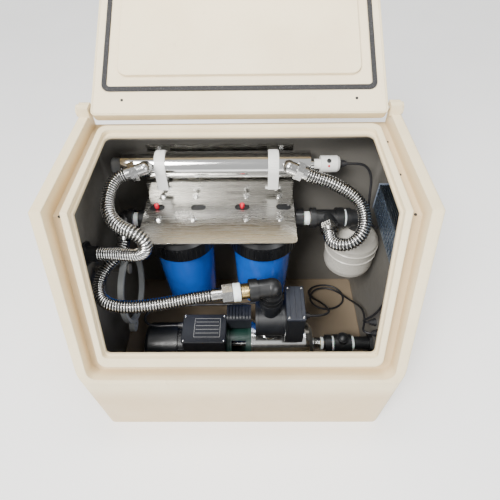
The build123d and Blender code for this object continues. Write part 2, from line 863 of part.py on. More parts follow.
def make_uv_port_elbows():
    back = tuple(-c for c in PORT_RAY)
    with BuildPart() as uv_port_elbows:
        for index in (0, 1):
            centre = uv_elbow_centre(index)
            add(elbow(centre, back, UV_OUT[index], 15.5, UV_ELBOW_REACH - 44, UV_ARM, socket=0))
    return uv_port_elbows.part


# ---- pump ---------------------------------------------------------------------------------
MOTOR_X = (-190.0, -46.0)
MOTOR_R = 56.0
FIN_R = 59.0
COVER_X = (-281.0, -185.0)
COVER_R = 62.0
BRACKET_X = (-46.0, 24.0)
BARREL_X = (24.0, 202.0)
BARREL_R = 66.0
SHAFT_R = 7.0
BEARING_R = 17.5
SHROUD = ((-44.0, 23.6), (-46.0, 6.0), 214.0)
TERMINAL = ((-164.0, -46.0), (-110.0, -24.0), (150.0, 196.0))
DRUM_X = (36.0, 112.5)
DRUM_Z = 240.0
DRUM_R = 46.0
DRUM_TOP = 330.0
CONTROL_BOX = ((112.5, 160.0), (-116.0, -16.0), (212.0, 318.0))
BOX_WALL = 3.0


def corner_box(x, y, z):
    """A block between two values on each axis."""
    with BuildPart(mode=Mode.PRIVATE) as block:
        with Locations(((x[0] + x[1]) / 2, (y[0] + y[1]) / 2, (z[0] + z[1]) / 2)):
            Box(x[1] - x[0], y[1] - y[0], z[1] - z[0])
    return block.part


def make_motor_housing():
    left, right = MOTOR_X
    with BuildPart() as motor_housing:
        add(tube_along(PUMP_PLANE, left, right, MOTOR_R, 50))
        add(tube_along(PUMP_PLANE, left, left + 5, COVER_R - 1.5, BEARING_R))
        add(tube_along(PUMP_PLANE, left, left + 14, 50.5, BEARING_R))
        add(tube_along(PUMP_PLANE, right - 14, right, 50.5, BEARING_R))
        with BuildSketch(PUMP_PLANE.offset(left + 5)):
            with PolarLocations(MOTOR_R + 1, 32):
                Rectangle(2 * (FIN_R - MOTOR_R - 1), 2.2)
        extrude(amount=right - left - 10)
    return motor_housing.part


def make_stator():
    with BuildPart() as stator:
        add(tube_along(PUMP_PLANE, MOTOR_X[0] + 24, MOTOR_X[1] - 24, 50, 27))
    return stator.part


def make_shaft_bearings():
    with BuildPart() as shaft_bearings:
        for start in (MOTOR_X[0] + 2, MOTOR_X[1] - 12):
            add(tube_along(PUMP_PLANE, start, start + 10, BEARING_R, SHAFT_R + 0.05))
    return shaft_bearings.part


def make_rotor_shaft():
    with BuildPart() as rotor_shaft:
        add(tube_along(PUMP_PLANE, -246, 168, SHAFT_R))
        add(tube_along(PUMP_PLANE, MOTOR_X[0] + 26, MOTOR_X[1] - 26, 26))
    return rotor_shaft.part


def make_motor_fan():
    hub = 16.0
    with BuildPart() as motor_fan:
        add(tube_along(PUMP_PLANE, -240, -216, hub, SHAFT_R))
        add(tube_along(PUMP_PLANE, -220, -217, 52, SHAFT_R))
        with BuildSketch(PUMP_PLANE.offset(-240)):
            with PolarLocations((hub + 52) / 2 - 1, 7):
                Rectangle(52 - hub, 2.5)
        extrude(amount=22)
        add(tube_along(PUMP_PLANE, -250, -210, SHAFT_R), mode=Mode.SUBTRACT)
    return motor_fan.part


def make_fan_cover():
    left, right = COVER_X
    with BuildPart() as fan_cover:
        add(
            turned(
                PUMP_PLANE,
                [
                    (left, 0),
                    (left, COVER_R - 18),
                    (left + 5, COVER_R - 7),
                    (left + 14, COVER_R),
                    (right, COVER_R),
                    (right, COVER_R - 1.5),
                    (left + 14, COVER_R - 1.5),
                    (left + 6, COVER_R - 8),
                    (left + 2, COVER_R - 19),
                    (left + 2, 0),
                ],
            )
        )
        with BuildSketch(PUMP_PLANE.offset(left - 1)):
            for ring, count in ((14, 6), (25, 10), (36, 14)):
                with PolarLocations(ring, count):
                    SlotOverall(8.5, 4.2, rotation=90)
        extrude(amount=4, mode=Mode.SUBTRACT)
    return fan_cover.part


def make_motor_bracket():
    left, right = BRACKET_X
    with BuildPart() as motor_bracket:
        add(tube_along(PUMP_PLANE, left, left + 8, 60, 20))
        add(tube_along(PUMP_PLANE, left, right, 55, 49))
        add(tube_along(PUMP_PLANE, right - 9, right, BARREL_R, 20))
        with BuildSketch(PUMP_PLANE.offset(left + 14)):
            with PolarLocations(52, 4, start_angle=45):
                Rectangle(16, 46)
        extrude(amount=right - left - 30, mode=Mode.SUBTRACT)
    return motor_bracket.part


def make_bracket_shroud():
    x, y, top = SHROUD
    with BuildPart() as bracket_shroud:
        add(corner_box(x, y, (PUMP_Z + 50, top)))
        fillet(bracket_shroud.edges().filter_by(Axis.X).group_by(Axis.Z)[-1], 12)
        with BuildSketch(Plane.XZ.offset(-y[1] - 1)):
            with Locations(((x[0] + x[1]) / 2, top)):
                with GridLocations(9, 0, 7, 1):
                    Rectangle(3, 10)
        extrude(amount=y[1] - y[0] + 2, mode=Mode.SUBTRACT)
        add(tube_along(PUMP_PLANE, -80, 60, BARREL_R), mode=Mode.SUBTRACT)
    return bracket_shroud.part


def make_pump_barrel():
    left, right = BARREL_X
    with BuildPart() as pump_barrel:
        add(
            turned(
                PUMP_PLANE,
                [
                    (left, BARREL_R - 2),
                    (left, BARREL_R + 4),
                    (left + 6, BARREL_R + 4),
                    (left + 6, BARREL_R),
                    (right - 26, BARREL_R),
                    (right - 15, BARREL_R - 3),
                    (right - 5, BARREL_R - 13),
                    (right, BARREL_R - 26),
                    (right, 24),
                    (right + 6, 22),
                    (right + 6, PIPE_R),
                    (right - 2, PIPE_R),
                    (right - 2, BARREL_R - 27),
                    (right - 7, BARREL_R - 14),
                    (right - 17, BARREL_R - 5),
                    (right - 27, BARREL_R - 2),
                ],
            )
        )
        outlet = Plane(origin=(*CONTROLLER, PUMP_Z), z_dir=(0, 0, 1))
        add(tube_along(outlet, BARREL_R - 1.5, 78, 22))
        add(tube_along(outlet, BARREL_R - 6, 79, BORE_R), mode=Mode.SUBTRACT)
    return pump_barrel.part


def make_impellers():
    with BuildPart() as impellers:
        for start in (46, 76, 106, 136):
            add(tube_along(PUMP_PLANE, start, start + 26, 13, SHAFT_R))
            add(tube_along(PUMP_PLANE, start + 2, start + 5, 50, SHAFT_R))
            add(tube_along(PUMP_PLANE, start + 13, start + 16, 50, 20))
            with BuildSketch(PUMP_PLANE.offset(start + 4)):
                with PolarLocations(32, 6):
                    Rectangle(34, 2.5, rotation=35)
            extrude(amount=10)
            add(tube_along(PUMP_PLANE, start - 1, start + 28, SHAFT_R), mode=Mode.SUBTRACT)
    return impellers.part


def make_pump_foot():
    with BuildPart() as pump_foot:
        add(corner_box((6, 190), (PUMP_Y - 56, PUMP_Y + 56), (WALL, 52)))
        add(corner_box((34, 162), (PUMP_Y - 70, PUMP_Y + 70), (WALL + 12, 70)), mode=Mode.SUBTRACT)
        add(tube_along(PUMP_PLANE, -10, 30, BARREL_R + 4), mode=Mode.SUBTRACT)
        add(tube_along(PUMP_PLANE, 0, 220, BARREL_R), mode=Mode.SUBTRACT)
        fillet(pump_foot.edges().filter_by(Axis.Z).group_by(Axis.Y)[0], 5)
        fillet(pump_foot.edges().filter_by(Axis.Z).group_by(Axis.Y)[-1], 5)
    return pump_foot.part


def make_terminal_box():
    x, y, z = TERMINAL
    with BuildPart() as terminal_box:
        add(corner_box(x, y, z))
        fillet(terminal_box.edges().filter_by(Axis.Z), 6)
        inner = ((x[0] + 3, x[1] - 3), (y[0] + 3, y[1] - 3), (PUMP_Z + 64, z[1] + 1))
        add(corner_box(*inner), mode=Mode.SUBTRACT)
        add(tube_along(PUMP_PLANE, -200, 0, FIN_R + 0.5), mode=Mode.SUBTRACT)
        add(tube_along(aimed(PUMP_GLAND, (1, 0, 0)), -1, 8, GLAND_HOLE_R), mode=Mode.SUBTRACT)
    return terminal_box.part


def make_terminal_box_lid():
    x, y, z = TERMINAL
    with BuildPart() as terminal_box_lid:
        add(corner_box((x[0] - 1.5, x[1] + 1.5), (y[0] - 1.5, y[1] + 1.5), (z[1], z[1] + 6)))
        fillet(terminal_box_lid.edges().filter_by(Axis.Z), 7)
        chamfer(terminal_box_lid.faces().sort_by(Axis.Z)[-1].edges(), 2)
        add(corner_box((x[0] + 27, x[1] - 10), (y[0] + 10, y[1] - 8), (z[1] + 4, z[1] + 6.8)))
    return terminal_box_lid.part


def make_controller_drum():
    left, right = DRUM_X
    drum = Plane(origin=(0, PUMP_Y, DRUM_Z), x_dir=(0, 1, 0), z_dir=(1, 0, 0))
    column = Plane(origin=(*CONTROLLER, 0), z_dir=(0, 0, 1))
    with BuildPart() as controller_drum:
        add(tube_along(drum, left, right, DRUM_R))
        add(tube_along(drum, left, left + 7, DRUM_R + 2))
        add(tube_along(drum, right - 7, right, DRUM_R + 2))
        add(tube_along(column, PUMP_Z + 78, DRUM_Z, 25))
        add(tube_along(column, DRUM_Z, DRUM_TOP, 25))
        add(tube_along(column, DRUM_TOP - 16, DRUM_TOP, 30))
        add(tube_along(drum, left + 5, right - 5, DRUM_R - 5), mode=Mode.SUBTRACT)
        add(tube_along(column, PUMP_Z + 77, DRUM_TOP + 1, BORE_R), mode=Mode.SUBTRACT)
        add(tube_along(column, DRUM_TOP - 10, DRUM_TOP + 1, PIPE_R), mode=Mode.SUBTRACT)
    return controller_drum.part


def make_controller_box():
    x, y, z = CONTROL_BOX
    with BuildPart() as controller_box:
        add(corner_box(x, y, z))
        fillet(controller_box.edges().filter_by(Axis.Z), 4)
        inner = [(low + BOX_WALL, high - BOX_WALL) for low, high in CONTROL_BOX]
        add(corner_box(inner[0], inner[1], (inner[2][0], z[1] + 1)), mode=Mode.SUBTRACT)
        add(tube_along(aimed(MAINS_ENTRY, (1, 0, 0)), -8, 1, GLAND_HOLE_R), mode=Mode.SUBTRACT)
        add(tube_along(aimed(MOTOR_ENTRY, (0, 1, 0)), -8, 1, GLAND_HOLE_R), mode=Mode.SUBTRACT)
    return controller_box.part


def make_controller_lid():
    x, y, z = CONTROL_BOX
    with BuildPart() as controller_lid:
        add(corner_box(x, (y[0] - 1, y[1] + 1), (z[1], z[1] + 7)))
        fillet(controller_lid.edges().filter_by(Axis.Z), 4)
        chamfer(controller_lid.faces().sort_by(Axis.Z)[-1].edges(), 1.5)
        with BuildSketch(Plane.XY.offset(z[1] + 7)):
            with Locations(((x[0] + x[1]) / 2, (y[0] + y[1]) / 2)):
                with GridLocations(14, 0, 3, 1):
                    Rectangle(1.5, y[1] - y[0] - 12)
        extrude(amount=-1.2, mode=Mode.SUBTRACT)
    return controller_lid.part


def make_controller_elbow():
    down = aimed(PUMP_ELBOW, (0, 0, -1))
    feed = aimed(PUMP_ELBOW, FEED_AIM)
    drop = PUMP_ELBOW[2] - DRUM_TOP
    with BuildPart() as controller_elbow:
        add(tube_along(down, 0, drop, 22))
        add(tube_along(feed, 0, 34, 24))
        with Locations(PUMP_ELBOW):
            Sphere(24.8)
        add(tube_along(down, 20, 30, 27))
        add(tube_along(down, 34, drop, 29))
        add(tube_along(feed, 34, 55, 28))
        add(tube_along(feed, 55, 75, 19))
        add(tube_along(feed, 75, FEED_ARM, 21.5))
        add(tube_along(down, drop, drop + 9, PIPE_R))
        add(tube_along(feed, 0, FEED_ARM + 1, BORE_R), mode=Mode.SUBTRACT)
        add(tube_along(down, 0, drop + 10, BORE_R), mode=Mode.SUBTRACT)
    return controller_elbow.part


def make_suction_valve():
    """Check valve on the pump inlet: union ring, body with a screwed dome, outlet collar."""
    dome = Plane(origin=(288, PUMP_Y, PUMP_Z), z_dir=(0, 0, 1))
    with BuildPart() as suction_valve:
        add(tube_along(PUMP_PLANE, 234, 322, 20))
        add(tube_along(PUMP_PLANE, 240, 257, 25))
        add(tube_along(PUMP_PLANE, 264, 314, 26))
        add(tube_along(dome, 0, 33, 16.5))
        with Locations((288, PUMP_Y, PUMP_Z + 33)):
            Sphere(16.5, arc_size1=0)
        add(tube_along(PUMP_PLANE, 233, 323, BORE_R), mode=Mode.SUBTRACT)
        add(tube_along(PUMP_PLANE, 233, 240, PIPE_R), mode=Mode.SUBTRACT)
    return suction_valve.part


def make_suction_pipe():
    with BuildPart() as suction_pipe:
        add(tube_along(PUMP_PLANE, 322, WIDTH / 2 - WALL - STUB, 19, BORE_R))
    return suction_pipe.part


# ---- lamp supply and cables ---------------------------------------------------------------
BALLAST = ((338.0, 374.0), (-92.0, 127.0), (466.0, 542.0))
GLAND = 18.0
PUMP_GLAND = (-164.0, -44.0, 178.0)
MAINS_ENTRY = (160.0, -66.0, 262.0)
MOTOR_ENTRY = (136.0, -16.0, 240.0)
BALLAST_FEED = (356.0, -70.0, 466.0)
BALLAST_LAMP = (356.0, 104.0, 466.0)
LAMP_GLAND = (UV_X[1] + 74, UV_Y, UV_Z)
SUPPLY_GLAND = (374.0, -40.0, 185.0)


def gland_places():
    """Each cable gland: where it meets its housing and the way the cable leaves."""
    return {
        "lamp": (LAMP_GLAND, (1, 0, 0)),
        "ballast_lamp": (BALLAST_LAMP, (0, 0, -1)),
        "ballast_feed": (BALLAST_FEED, (0, 0, -1)),
        "pump": (PUMP_GLAND, (-1, 0, 0)),
        "mains_entry": (MAINS_ENTRY, (1, 0, 0)),
        "motor_entry": (MOTOR_ENTRY, (0, 1, 0)),
        "mains": (MAINS_GLAND, (-1, 0, 0)),
        "supply": (SUPPLY_GLAND, (-1, 0, 0)),
    }


def gland_mouth(name):
    place, aim = gland_places()[name]
    return tuple(step(place, aim, GLAND))


def make_cable_glands():
    with BuildPart() as cable_glands:
        for place, aim in gland_places().values():
            plane = aimed(place, aim)
            add(hex_prism(plane, 0, 6, 19, CABLE_D / 2))
            add(tube_along(plane, 6, 13, 9, CABLE_D / 2))
            add(tube_along(plane, 13, GLAND, 7, CABLE_D / 2))
    return cable_glands.part


def make_ballast_case():
    x, y, z = BALLAST
    with BuildPart() as ballast_case:
        add(corner_box(x, y, z))
        inner = ((x[0] + 4, x[1] - 3), (y[0] - 1, y[1] + 1), (z[0] + 3, z[1] - 8))
        add(corner_box(*inner), mode=Mode.SUBTRACT)
        with BuildSketch(Plane.XZ.offset(-y[0])):
            with Locations(((x[0] + x[1]) / 2, z[1])):
                with GridLocations(5, 0, 6, 1):
                    Rectangle(2.4, 10)
            with Locations((x[0], (z[0] + z[1]) / 2 + 4)):
                with GridLocations(0, 12, 1, 5):
                    Rectangle(3, 4)
        extrude(amount=-(y[1] - y[0]), mode=Mode.SUBTRACT)
        for place in (BALLAST_FEED, BALLAST_LAMP):
            add(tube_along(aimed(place, (0, 0, 1)), -1, 5, GLAND_HOLE_R), mode=Mode.SUBTRACT)
    return ballast_case.part


def make_ballast_end_caps():
    x, y, z = BALLAST
    with BuildPart() as ballast_end_caps:
        for low, high in ((y[0] - 4, y[0]), (y[1], y[1] + 4)):
            add(corner_box((x[0] - 1, x[1]), (low, high), (z[0] - 1, z[1] + 1)))
    return ballast_end_caps.part


LAMP_ROUTE = [
    (312, 195, 550),
    (329, 189, 533),
    (335, 180, 508),
    (335, 166, 476),
    (336, 154, 444),
    (338, 148, 417),
    (345, 135, 404),
    (352, 117, 403),
]

BALLAST_ROUTE = [
    (356, -74, 398),
    (355, -76, 362),
    (354, -74, 326),
    (352, -68, 290),
    (350, -60, 256),
    (345, -51, 226),
    (335, -43, 201),
]

MAINS_ROUTE = [
    (216, -58, 252),
    (238, -34, 226),
    (246, 2, 188),
    (244, 44, 148),
    (234, 84, 108),
    (222, 122, 72),
    (216, 160, 40),
    (228, 196, 20),
    (262, 216, 12),
    (304, 214, 12),
    (336, 190, 12),
    (342, 152, 12),
    (318, 122, 14),
    (278, 110, 17),
    (240, 120, 19),
    (220, 152, 20),
    (236, 186, 20),
    (272, 200, 20),
    (308, 190, 21),
    (334, 162, 30),
    (348, 128, 52),
    (356, 92, 84),
    (360, 58, 116),
    (360, 24, 140),
    (355, -8, 154),
    (345, -38, 166),
    (334, -62, 179),
]

MOTOR_ROUTE = [
    (132, 40, 226),
    (108, 40, 208),
    (76, 30, 196),
    (36, 24, 188),
    (-8, 24, 182),
    (-52, 26, 178),
    (-98, 28, 174),
    (-144, 28, 172),
    (-190, 26, 171),
    (-234, 24, 171),
    (-268, 14, 171),
    (-286, -10, 172),
    (-276, -36, 174),
    (-246, -46, 177),
]


def cable(name, start, middle, end, leads):
    """A cable between two glands, leaving each one straight for its own distance."""
    aims = {place: aim for place, (_, aim) in gland_places().items()}
    first, last = gland_mouth(start), gland_mouth(end)
    near = tuple(step(first, aims[start], leads[0]))
    far = tuple(step(last, aims[end], leads[1]))
    return swept_tube(name, [first, near, *middle, far, last], CABLE_D)


def make_lamp_cable():
    return cable("lamp_cable", "lamp", LAMP_ROUTE, "ballast_lamp", (26, 31))


def make_ballast_cable():
    return cable("ballast_cable", "ballast_feed", BALLAST_ROUTE, "supply", (24, 14))


def make_mains_cable():
    return cable("mains_cable", "mains_entry", MAINS_ROUTE, "mains", (16, 12))


def make_motor_cable():
    return cable("motor_cable", "motor_entry", MOTOR_ROUTE, "pump", (20, 24))


# ---- write every piece --------------------------------------------------------------------
PIECES = {
    "cabinet_tub": make_cabinet_tub,
    "lid_shell": make_lid_shell,
    "lid_liner": make_lid_liner,
    "lid_gasket": make_lid_gasket,
    "hinge_pins": make_hinge_pins,
    "filter_bracket": make_filter_bracket,
    "bracket_bolts": make_bracket_bolts,
    "filter_cap_left": lambda: make_filter_cap(0),
    "filter_cap_right": lambda: make_filter_cap(1),
    "filter_sump_left": lambda: make_filter_sump(0),
    "filter_sump_right": lambda: make_filter_sump(1),
    "sump_seals": make_sump_seals,
    "filter_cartridge_left": lambda: make_filter_cartridge(0),
    "filter_cartridge_right": lambda: make_filter_cartridge(1),
    "relief_button_left": lambda: make_relief_button(0),
    "relief_button_right": lambda: make_relief_button(1),
    "link_nipples": make_link_nipples,
    "filter_wrench": make_filter_wrench,
    "hose_nuts": make_hose_nuts,
    "filter_inlet_elbow": make_filter_inlet_elbow,
    "outlet_tee": make_outlet_tee,
    "tank_elbow": make_tank_elbow,
    "pressure_tank": make_pressure_tank,
    "pump_hose": make_pump_hose,
    "outlet_hose": make_outlet_hose,
    "uv_feed_hose": make_uv_feed_hose,
    "bulkheads": make_bulkheads,
    "uv_chamber": make_uv_chamber,
    "uv_end_plug": make_uv_end_plug,
    "quartz_sleeve": make_quartz_sleeve,
    "uv_lamp": make_uv_lamp,
    "lamp_cap": make_lamp_cap,
    "uv_straps": make_uv_straps,
    "uv_port_elbows": make_uv_port_elbows,
    "motor_housing": make_motor_housing,
    "stator": make_stator,
    "shaft_bearings": make_shaft_bearings,
    "rotor_shaft": make_rotor_shaft,
    "motor_fan": make_motor_fan,
    "fan_cover": make_fan_cover,
    "motor_bracket": make_motor_bracket,
    "bracket_shroud": make_bracket_shroud,
    "pump_barrel": make_pump_barrel,
    "impellers": make_impellers,
    "pump_foot": make_pump_foot,
    "terminal_box": make_terminal_box,
    "terminal_box_lid": make_terminal_box_lid,
    "controller_drum": make_controller_drum,
    "controller_box": make_controller_box,
    "controller_lid": make_controller_lid,
    "controller_elbow": make_controller_elbow,
    "suction_valve": make_suction_valve,
    "suction_pipe": make_suction_pipe,
    "cable_glands": make_cable_glands,
    "ballast_case": make_ballast_case,
    "ballast_end_caps": make_ballast_end_caps,
    "lamp_cable": make_lamp_cable,
    "ballast_cable": make_ballast_cable,
    "mains_cable": make_mains_cable,
    "motor_cable": make_motor_cable,
}

if __name__ == "__main__":
    for name, make in PIECES.items():
        piece = make()
        piece.label = name
        export_step(piece, f"parts/{name}.step")
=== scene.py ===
"""Looks for the water treatment cabinet: materials, hoses, cables and small details."""

from math import atan2, cos, pi, radians, sin

import bpy
from mathutils import Euler, Matrix, Vector


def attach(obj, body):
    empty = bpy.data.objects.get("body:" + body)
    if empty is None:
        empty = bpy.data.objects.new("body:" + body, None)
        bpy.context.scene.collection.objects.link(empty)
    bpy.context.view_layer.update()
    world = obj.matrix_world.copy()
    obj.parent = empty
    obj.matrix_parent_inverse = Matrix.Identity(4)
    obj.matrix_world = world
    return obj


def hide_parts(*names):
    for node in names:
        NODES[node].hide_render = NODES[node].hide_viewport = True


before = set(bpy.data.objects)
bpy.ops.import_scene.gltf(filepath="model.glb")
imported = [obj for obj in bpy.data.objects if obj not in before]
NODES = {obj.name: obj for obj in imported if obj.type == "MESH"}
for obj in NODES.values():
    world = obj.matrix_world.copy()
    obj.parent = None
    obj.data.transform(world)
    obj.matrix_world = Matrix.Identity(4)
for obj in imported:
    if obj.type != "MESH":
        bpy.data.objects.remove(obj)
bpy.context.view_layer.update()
MM = 0.001

# ---- places that repeat the CAD source ------------------------------------------------------
PUMP_AXIS = Vector((0, -0.059, 0.100))
UV_AXIS = Vector((0, 0.196, 0.553))
PORT_LEVEL = Vector((0, 0.114, 0.444))
FILTER_X = (-0.158, 0.056)
CONTROLLER_ELBOW = Vector((0.075, -0.059, 0.378))
FEED_AIM = Vector((-0.989, -0.148, 0)).normalized()
RIM_TOP = 0.672
HINGE = (0.234, 0.682)
RIM_FRONT = 0.266
FRONT_Y = -0.250
SLOPE = atan2(RIM_TOP - RIM_FRONT, 0.149)
GUTTER_DEPTH = 0.036
CORNER_START = (0.36, 0.23)      # where the upright edges' rounding begins, in x and y
CORNER_SPLIT = 0.0172            # between the inner and outer radius of that rounding
FLOOR_TOP = 0.012
LID_INNER_Z = 0.669
LID_SWING = -150

# ---- camera ---------------------------------------------------------------------------------
CAMERA_PLACE = (0.0334, -0.6285, 1.1681)
CAMERA_TURN = (41.196, 0.652, 0.165)
CAMERA_LENS = 28.8

camera = bpy.data.objects.new("camera", bpy.data.cameras.new("camera"))
bpy.context.scene.collection.objects.link(camera)
camera.data.lens = CAMERA_LENS
camera.data.sensor_width = 36.0
camera.data.clip_start = 0.01
camera.location = CAMERA_PLACE
camera.rotation_euler = Euler([radians(a) for a in CAMERA_TURN])
bpy.context.scene.camera = camera


# ---- cords: routes first --------------------------------------------------------------------
CABLE_D = 0.0065

PUMP_ROUTE = [
    (-0.0684, -0.0805, 0.378),
    (-0.0862, -0.0831, 0.378),
    (-0.150, -0.094, 0.374),
    (-0.200, -0.102, 0.371),
    (-0.244, -0.107, 0.370),
    (-0.280, -0.107, 0.370),
    (-0.314, -0.100, 0.370),
    (-0.338, -0.082, 0.371),
    (-0.348, -0.056, 0.376),
    (-0.346, -0.030, 0.384),
    (-0.336, -0.008, 0.393),
    (-0.320, 0.008, 0.402),
    (-0.305, 0.022, 0.410),
    (-0.298, 0.0369, 0.4161),
    (-0.298, 0.0538, 0.4222),
]
OUTLET_ROUTE = [
    (-0.2699, 0.1291, 0.5762),
    (-0.2829, 0.1245, 0.5741),
    (-0.294, 0.114, 0.571),
    (-0.302, 0.092, 0.565),
    (-0.304, 0.062, 0.556),
    (-0.298, 0.032, 0.547),
    (-0.280, 0.006, 0.540),
    (-0.257, -0.008, 0.534),
    (-0.232, -0.018, 0.530),
    (-0.213, -0.023, 0.511),
    (-0.213, -0.027, 0.484),
    (-0.233, -0.026, 0.464),
    (-0.262, -0.020, 0.458),
    (-0.292, -0.011, 0.451),
    (-0.328, -0.005, 0.445),
    (-0.342, -0.005, 0.445),
]
FEED_ROUTE = [
    (0.222, 0.054, 0.444),
    (0.222, 0.032, 0.444),
    (0.236, 0.013, 0.452),
    (0.258, 0.005, 0.461),
    (0.281, 0.014, 0.473),
    (0.296, 0.036, 0.486),
    (0.299, 0.062, 0.500),
    (0.292, 0.088, 0.515),
    (0.272, 0.104, 0.530),
    (0.244, 0.114, 0.544),
    (0.213, 0.123, 0.556),
    (0.1800, 0.1317, 0.5618),
    (0.1599, 0.1357, 0.5687),
]
LAMP_ROUTE = [
    (0.265, 0.196, 0.553),
    (0.291, 0.196, 0.553),
    (0.312, 0.195, 0.550),
    (0.329, 0.189, 0.533),
    (0.335, 0.180, 0.508),
    (0.335, 0.166, 0.476),
    (0.336, 0.154, 0.444),
    (0.338, 0.148, 0.417),
    (0.345, 0.135, 0.404),
    (0.352, 0.117, 0.403),
    (0.356, 0.104, 0.417),
    (0.356, 0.104, 0.448),
]
BALLAST_ROUTE = [
    (0.356, -0.070, 0.448),
    (0.356, -0.070, 0.424),
    (0.356, -0.074, 0.398),
    (0.355, -0.076, 0.362),
    (0.354, -0.074, 0.326),
    (0.352, -0.068, 0.290),
    (0.350, -0.060, 0.256),
    (0.345, -0.051, 0.226),
    (0.335, -0.043, 0.201),
    (0.342, -0.040, 0.185),
    (0.356, -0.040, 0.185),
]
MAINS_ROUTE = [
    (0.178, -0.066, 0.262),
    (0.194, -0.066, 0.262),
    (0.216, -0.058, 0.252),
    (0.238, -0.034, 0.226),
    (0.246, 0.002, 0.188),
    (0.244, 0.044, 0.148),
    (0.234, 0.084, 0.108),
    (0.222, 0.122, 0.072),
    (0.216, 0.160, 0.040),
    (0.228, 0.196, 0.020),
    (0.262, 0.216, 0.012),
    (0.304, 0.214, 0.012),
    (0.336, 0.190, 0.012),
    (0.342, 0.152, 0.012),
    (0.318, 0.122, 0.014),
    (0.278, 0.110, 0.017),
    (0.240, 0.120, 0.019),
    (0.220, 0.152, 0.020),
    (0.236, 0.186, 0.020),
    (0.272, 0.200, 0.020),
    (0.308, 0.190, 0.021),
    (0.334, 0.162, 0.030),
    (0.348, 0.128, 0.052),
    (0.356, 0.092, 0.084),
    (0.360, 0.058, 0.116),
    (0.360, 0.024, 0.140),
    (0.355, -0.008, 0.154),
    (0.345, -0.038, 0.166),
    (0.334, -0.062, 0.179),
    (0.344, -0.075, 0.185),
    (0.356, -0.075, 0.185),
]
MOTOR_ROUTE = [
    (0.136, 0.002, 0.240),
    (0.136, 0.022, 0.240),
    (0.132, 0.040, 0.226),
    (0.108, 0.040, 0.208),
    (0.076, 0.030, 0.196),
    (0.036, 0.024, 0.188),
    (-0.008, 0.024, 0.182),
    (-0.052, 0.026, 0.178),
    (-0.098, 0.028, 0.174),
    (-0.144, 0.028, 0.172),
    (-0.190, 0.026, 0.171),
    (-0.234, 0.024, 0.171),
    (-0.268, 0.014, 0.171),
    (-0.286, -0.010, 0.172),
    (-0.276, -0.036, 0.174),
    (-0.246, -0.046, 0.177),
    (-0.206, -0.044, 0.178),
    (-0.182, -0.044, 0.178),
]


# ---- material nodes -------------------------------------------------------------------------
class Surface:
    """A Principled material with helpers for its colour, roughness and bump layers."""

    def __init__(self, name, colour, roughness, metallic=0.0, edge=0.0006, **extra):
        self.material = bpy.data.materials.new(name)
        self.material.use_nodes = True
        self.tree = self.material.node_tree
        self.tree.nodes.clear()
        out = self.node("ShaderNodeOutputMaterial")
        self.shader = self.node("ShaderNodeBsdfPrincipled")
        self.join(self.shader, 0, out, 0)
        self.set("Base Color", (*colour, 1))
        self.set("Roughness", roughness)
        self.set("Metallic", metallic)
        for key, value in extra.items():
            self.set(key.replace("_", " ").title().replace("Ior", "IOR"), value)
        self.colour = None
        self.base = colour
        self.normal = None
        if edge:
            bevel = self.node("ShaderNodeBevel")
            bevel.samples = 4
            bevel.inputs["Radius"].default_value = edge
            self.normal = bevel.outputs[0]
            self.tree.links.new(self.normal, self.shader.inputs["Normal"])
        self.coords = self.node("ShaderNodeTexCoord").outputs["Object"]

    def node(self, kind):
        return self.tree.nodes.new(kind)

    def join(self, a, i, b, j):
        self.tree.links.new(a.outputs[i], b.inputs[j])

    def set(self, socket, value):
        self.shader.inputs[socket].default_value = value

    def noise(self, scale, detail=3.0, stretch=(1, 1, 1), roughness=0.55):
        """A noise value in the row frame; scale is in features per metre."""
        mapping = self.node("ShaderNodeMapping")
        mapping.inputs["Scale"].default_value = stretch
        self.tree.links.new(self.coords, mapping.inputs["Vector"])
        noise = self.node("ShaderNodeTexNoise")
        noise.inputs["Scale"].default_value = scale
        noise.inputs["Detail"].default_value = detail
        noise.inputs["Roughness"].default_value = roughness
        self.tree.links.new(mapping.outputs[0], noise.inputs["Vector"])
        return noise.outputs["Fac"]

    def ramp(self, value, low, high, start=0.0, end=1.0):
        """The value between low and high mapped smoothly to start..end."""
        ranged = self.node("ShaderNodeMapRange")
        ranged.interpolation_type = "SMOOTHSTEP"
        limits = (("From Min", low), ("From Max", high), ("To Min", start), ("To Max", end))
        for key, number in limits:
            ranged.inputs[key].default_value = number
        self.tree.links.new(value, ranged.inputs["Value"])
        return ranged.outputs["Result"]

    def tint(self, factor, colour):
        """Mixes a second colour in where the factor is high."""
        mix = self.node("ShaderNodeMix")
        mix.data_type = "RGBA"
        if self.colour is None:
            mix.inputs["A"].default_value = (*self.base, 1)
        else:
            self.tree.links.new(self.colour, mix.inputs["A"])
        mix.inputs["B"].default_value = (*colour, 1)
        self.tree.links.new(factor, mix.inputs["Factor"])
        self.colour = mix.outputs["Result"]
        self.tree.links.new(self.colour, self.shader.inputs["Base Color"])
        return self

    def gloss(self, value, low, high):
        """Roughness that varies between two values with a noise."""
        self.tree.links.new(self.ramp(value, 0.3, 0.7, low, high), self.shader.inputs["Roughness"])
        return self

    def bump(self, height, distance, strength=1.0):
        """Raises the surface by a height in metres where the value is high."""
        bump = self.node("ShaderNodeBump")
        bump.inputs["Distance"].default_value = distance
        bump.inputs["Strength"].default_value = strength
        self.tree.links.new(height, bump.inputs["Height"])
        if self.normal is not None:
            self.tree.links.new(self.normal, bump.inputs["Normal"])
        self.normal = bump.outputs[0]
        self.tree.links.new(self.normal, self.shader.inputs["Normal"])
        return self

    def axis(self, index):
        """One coordinate of the row frame."""
        parts = self.node("ShaderNodeSeparateXYZ")
        self.tree.links.new(self.coords, parts.inputs[0])
        return parts.outputs[index]


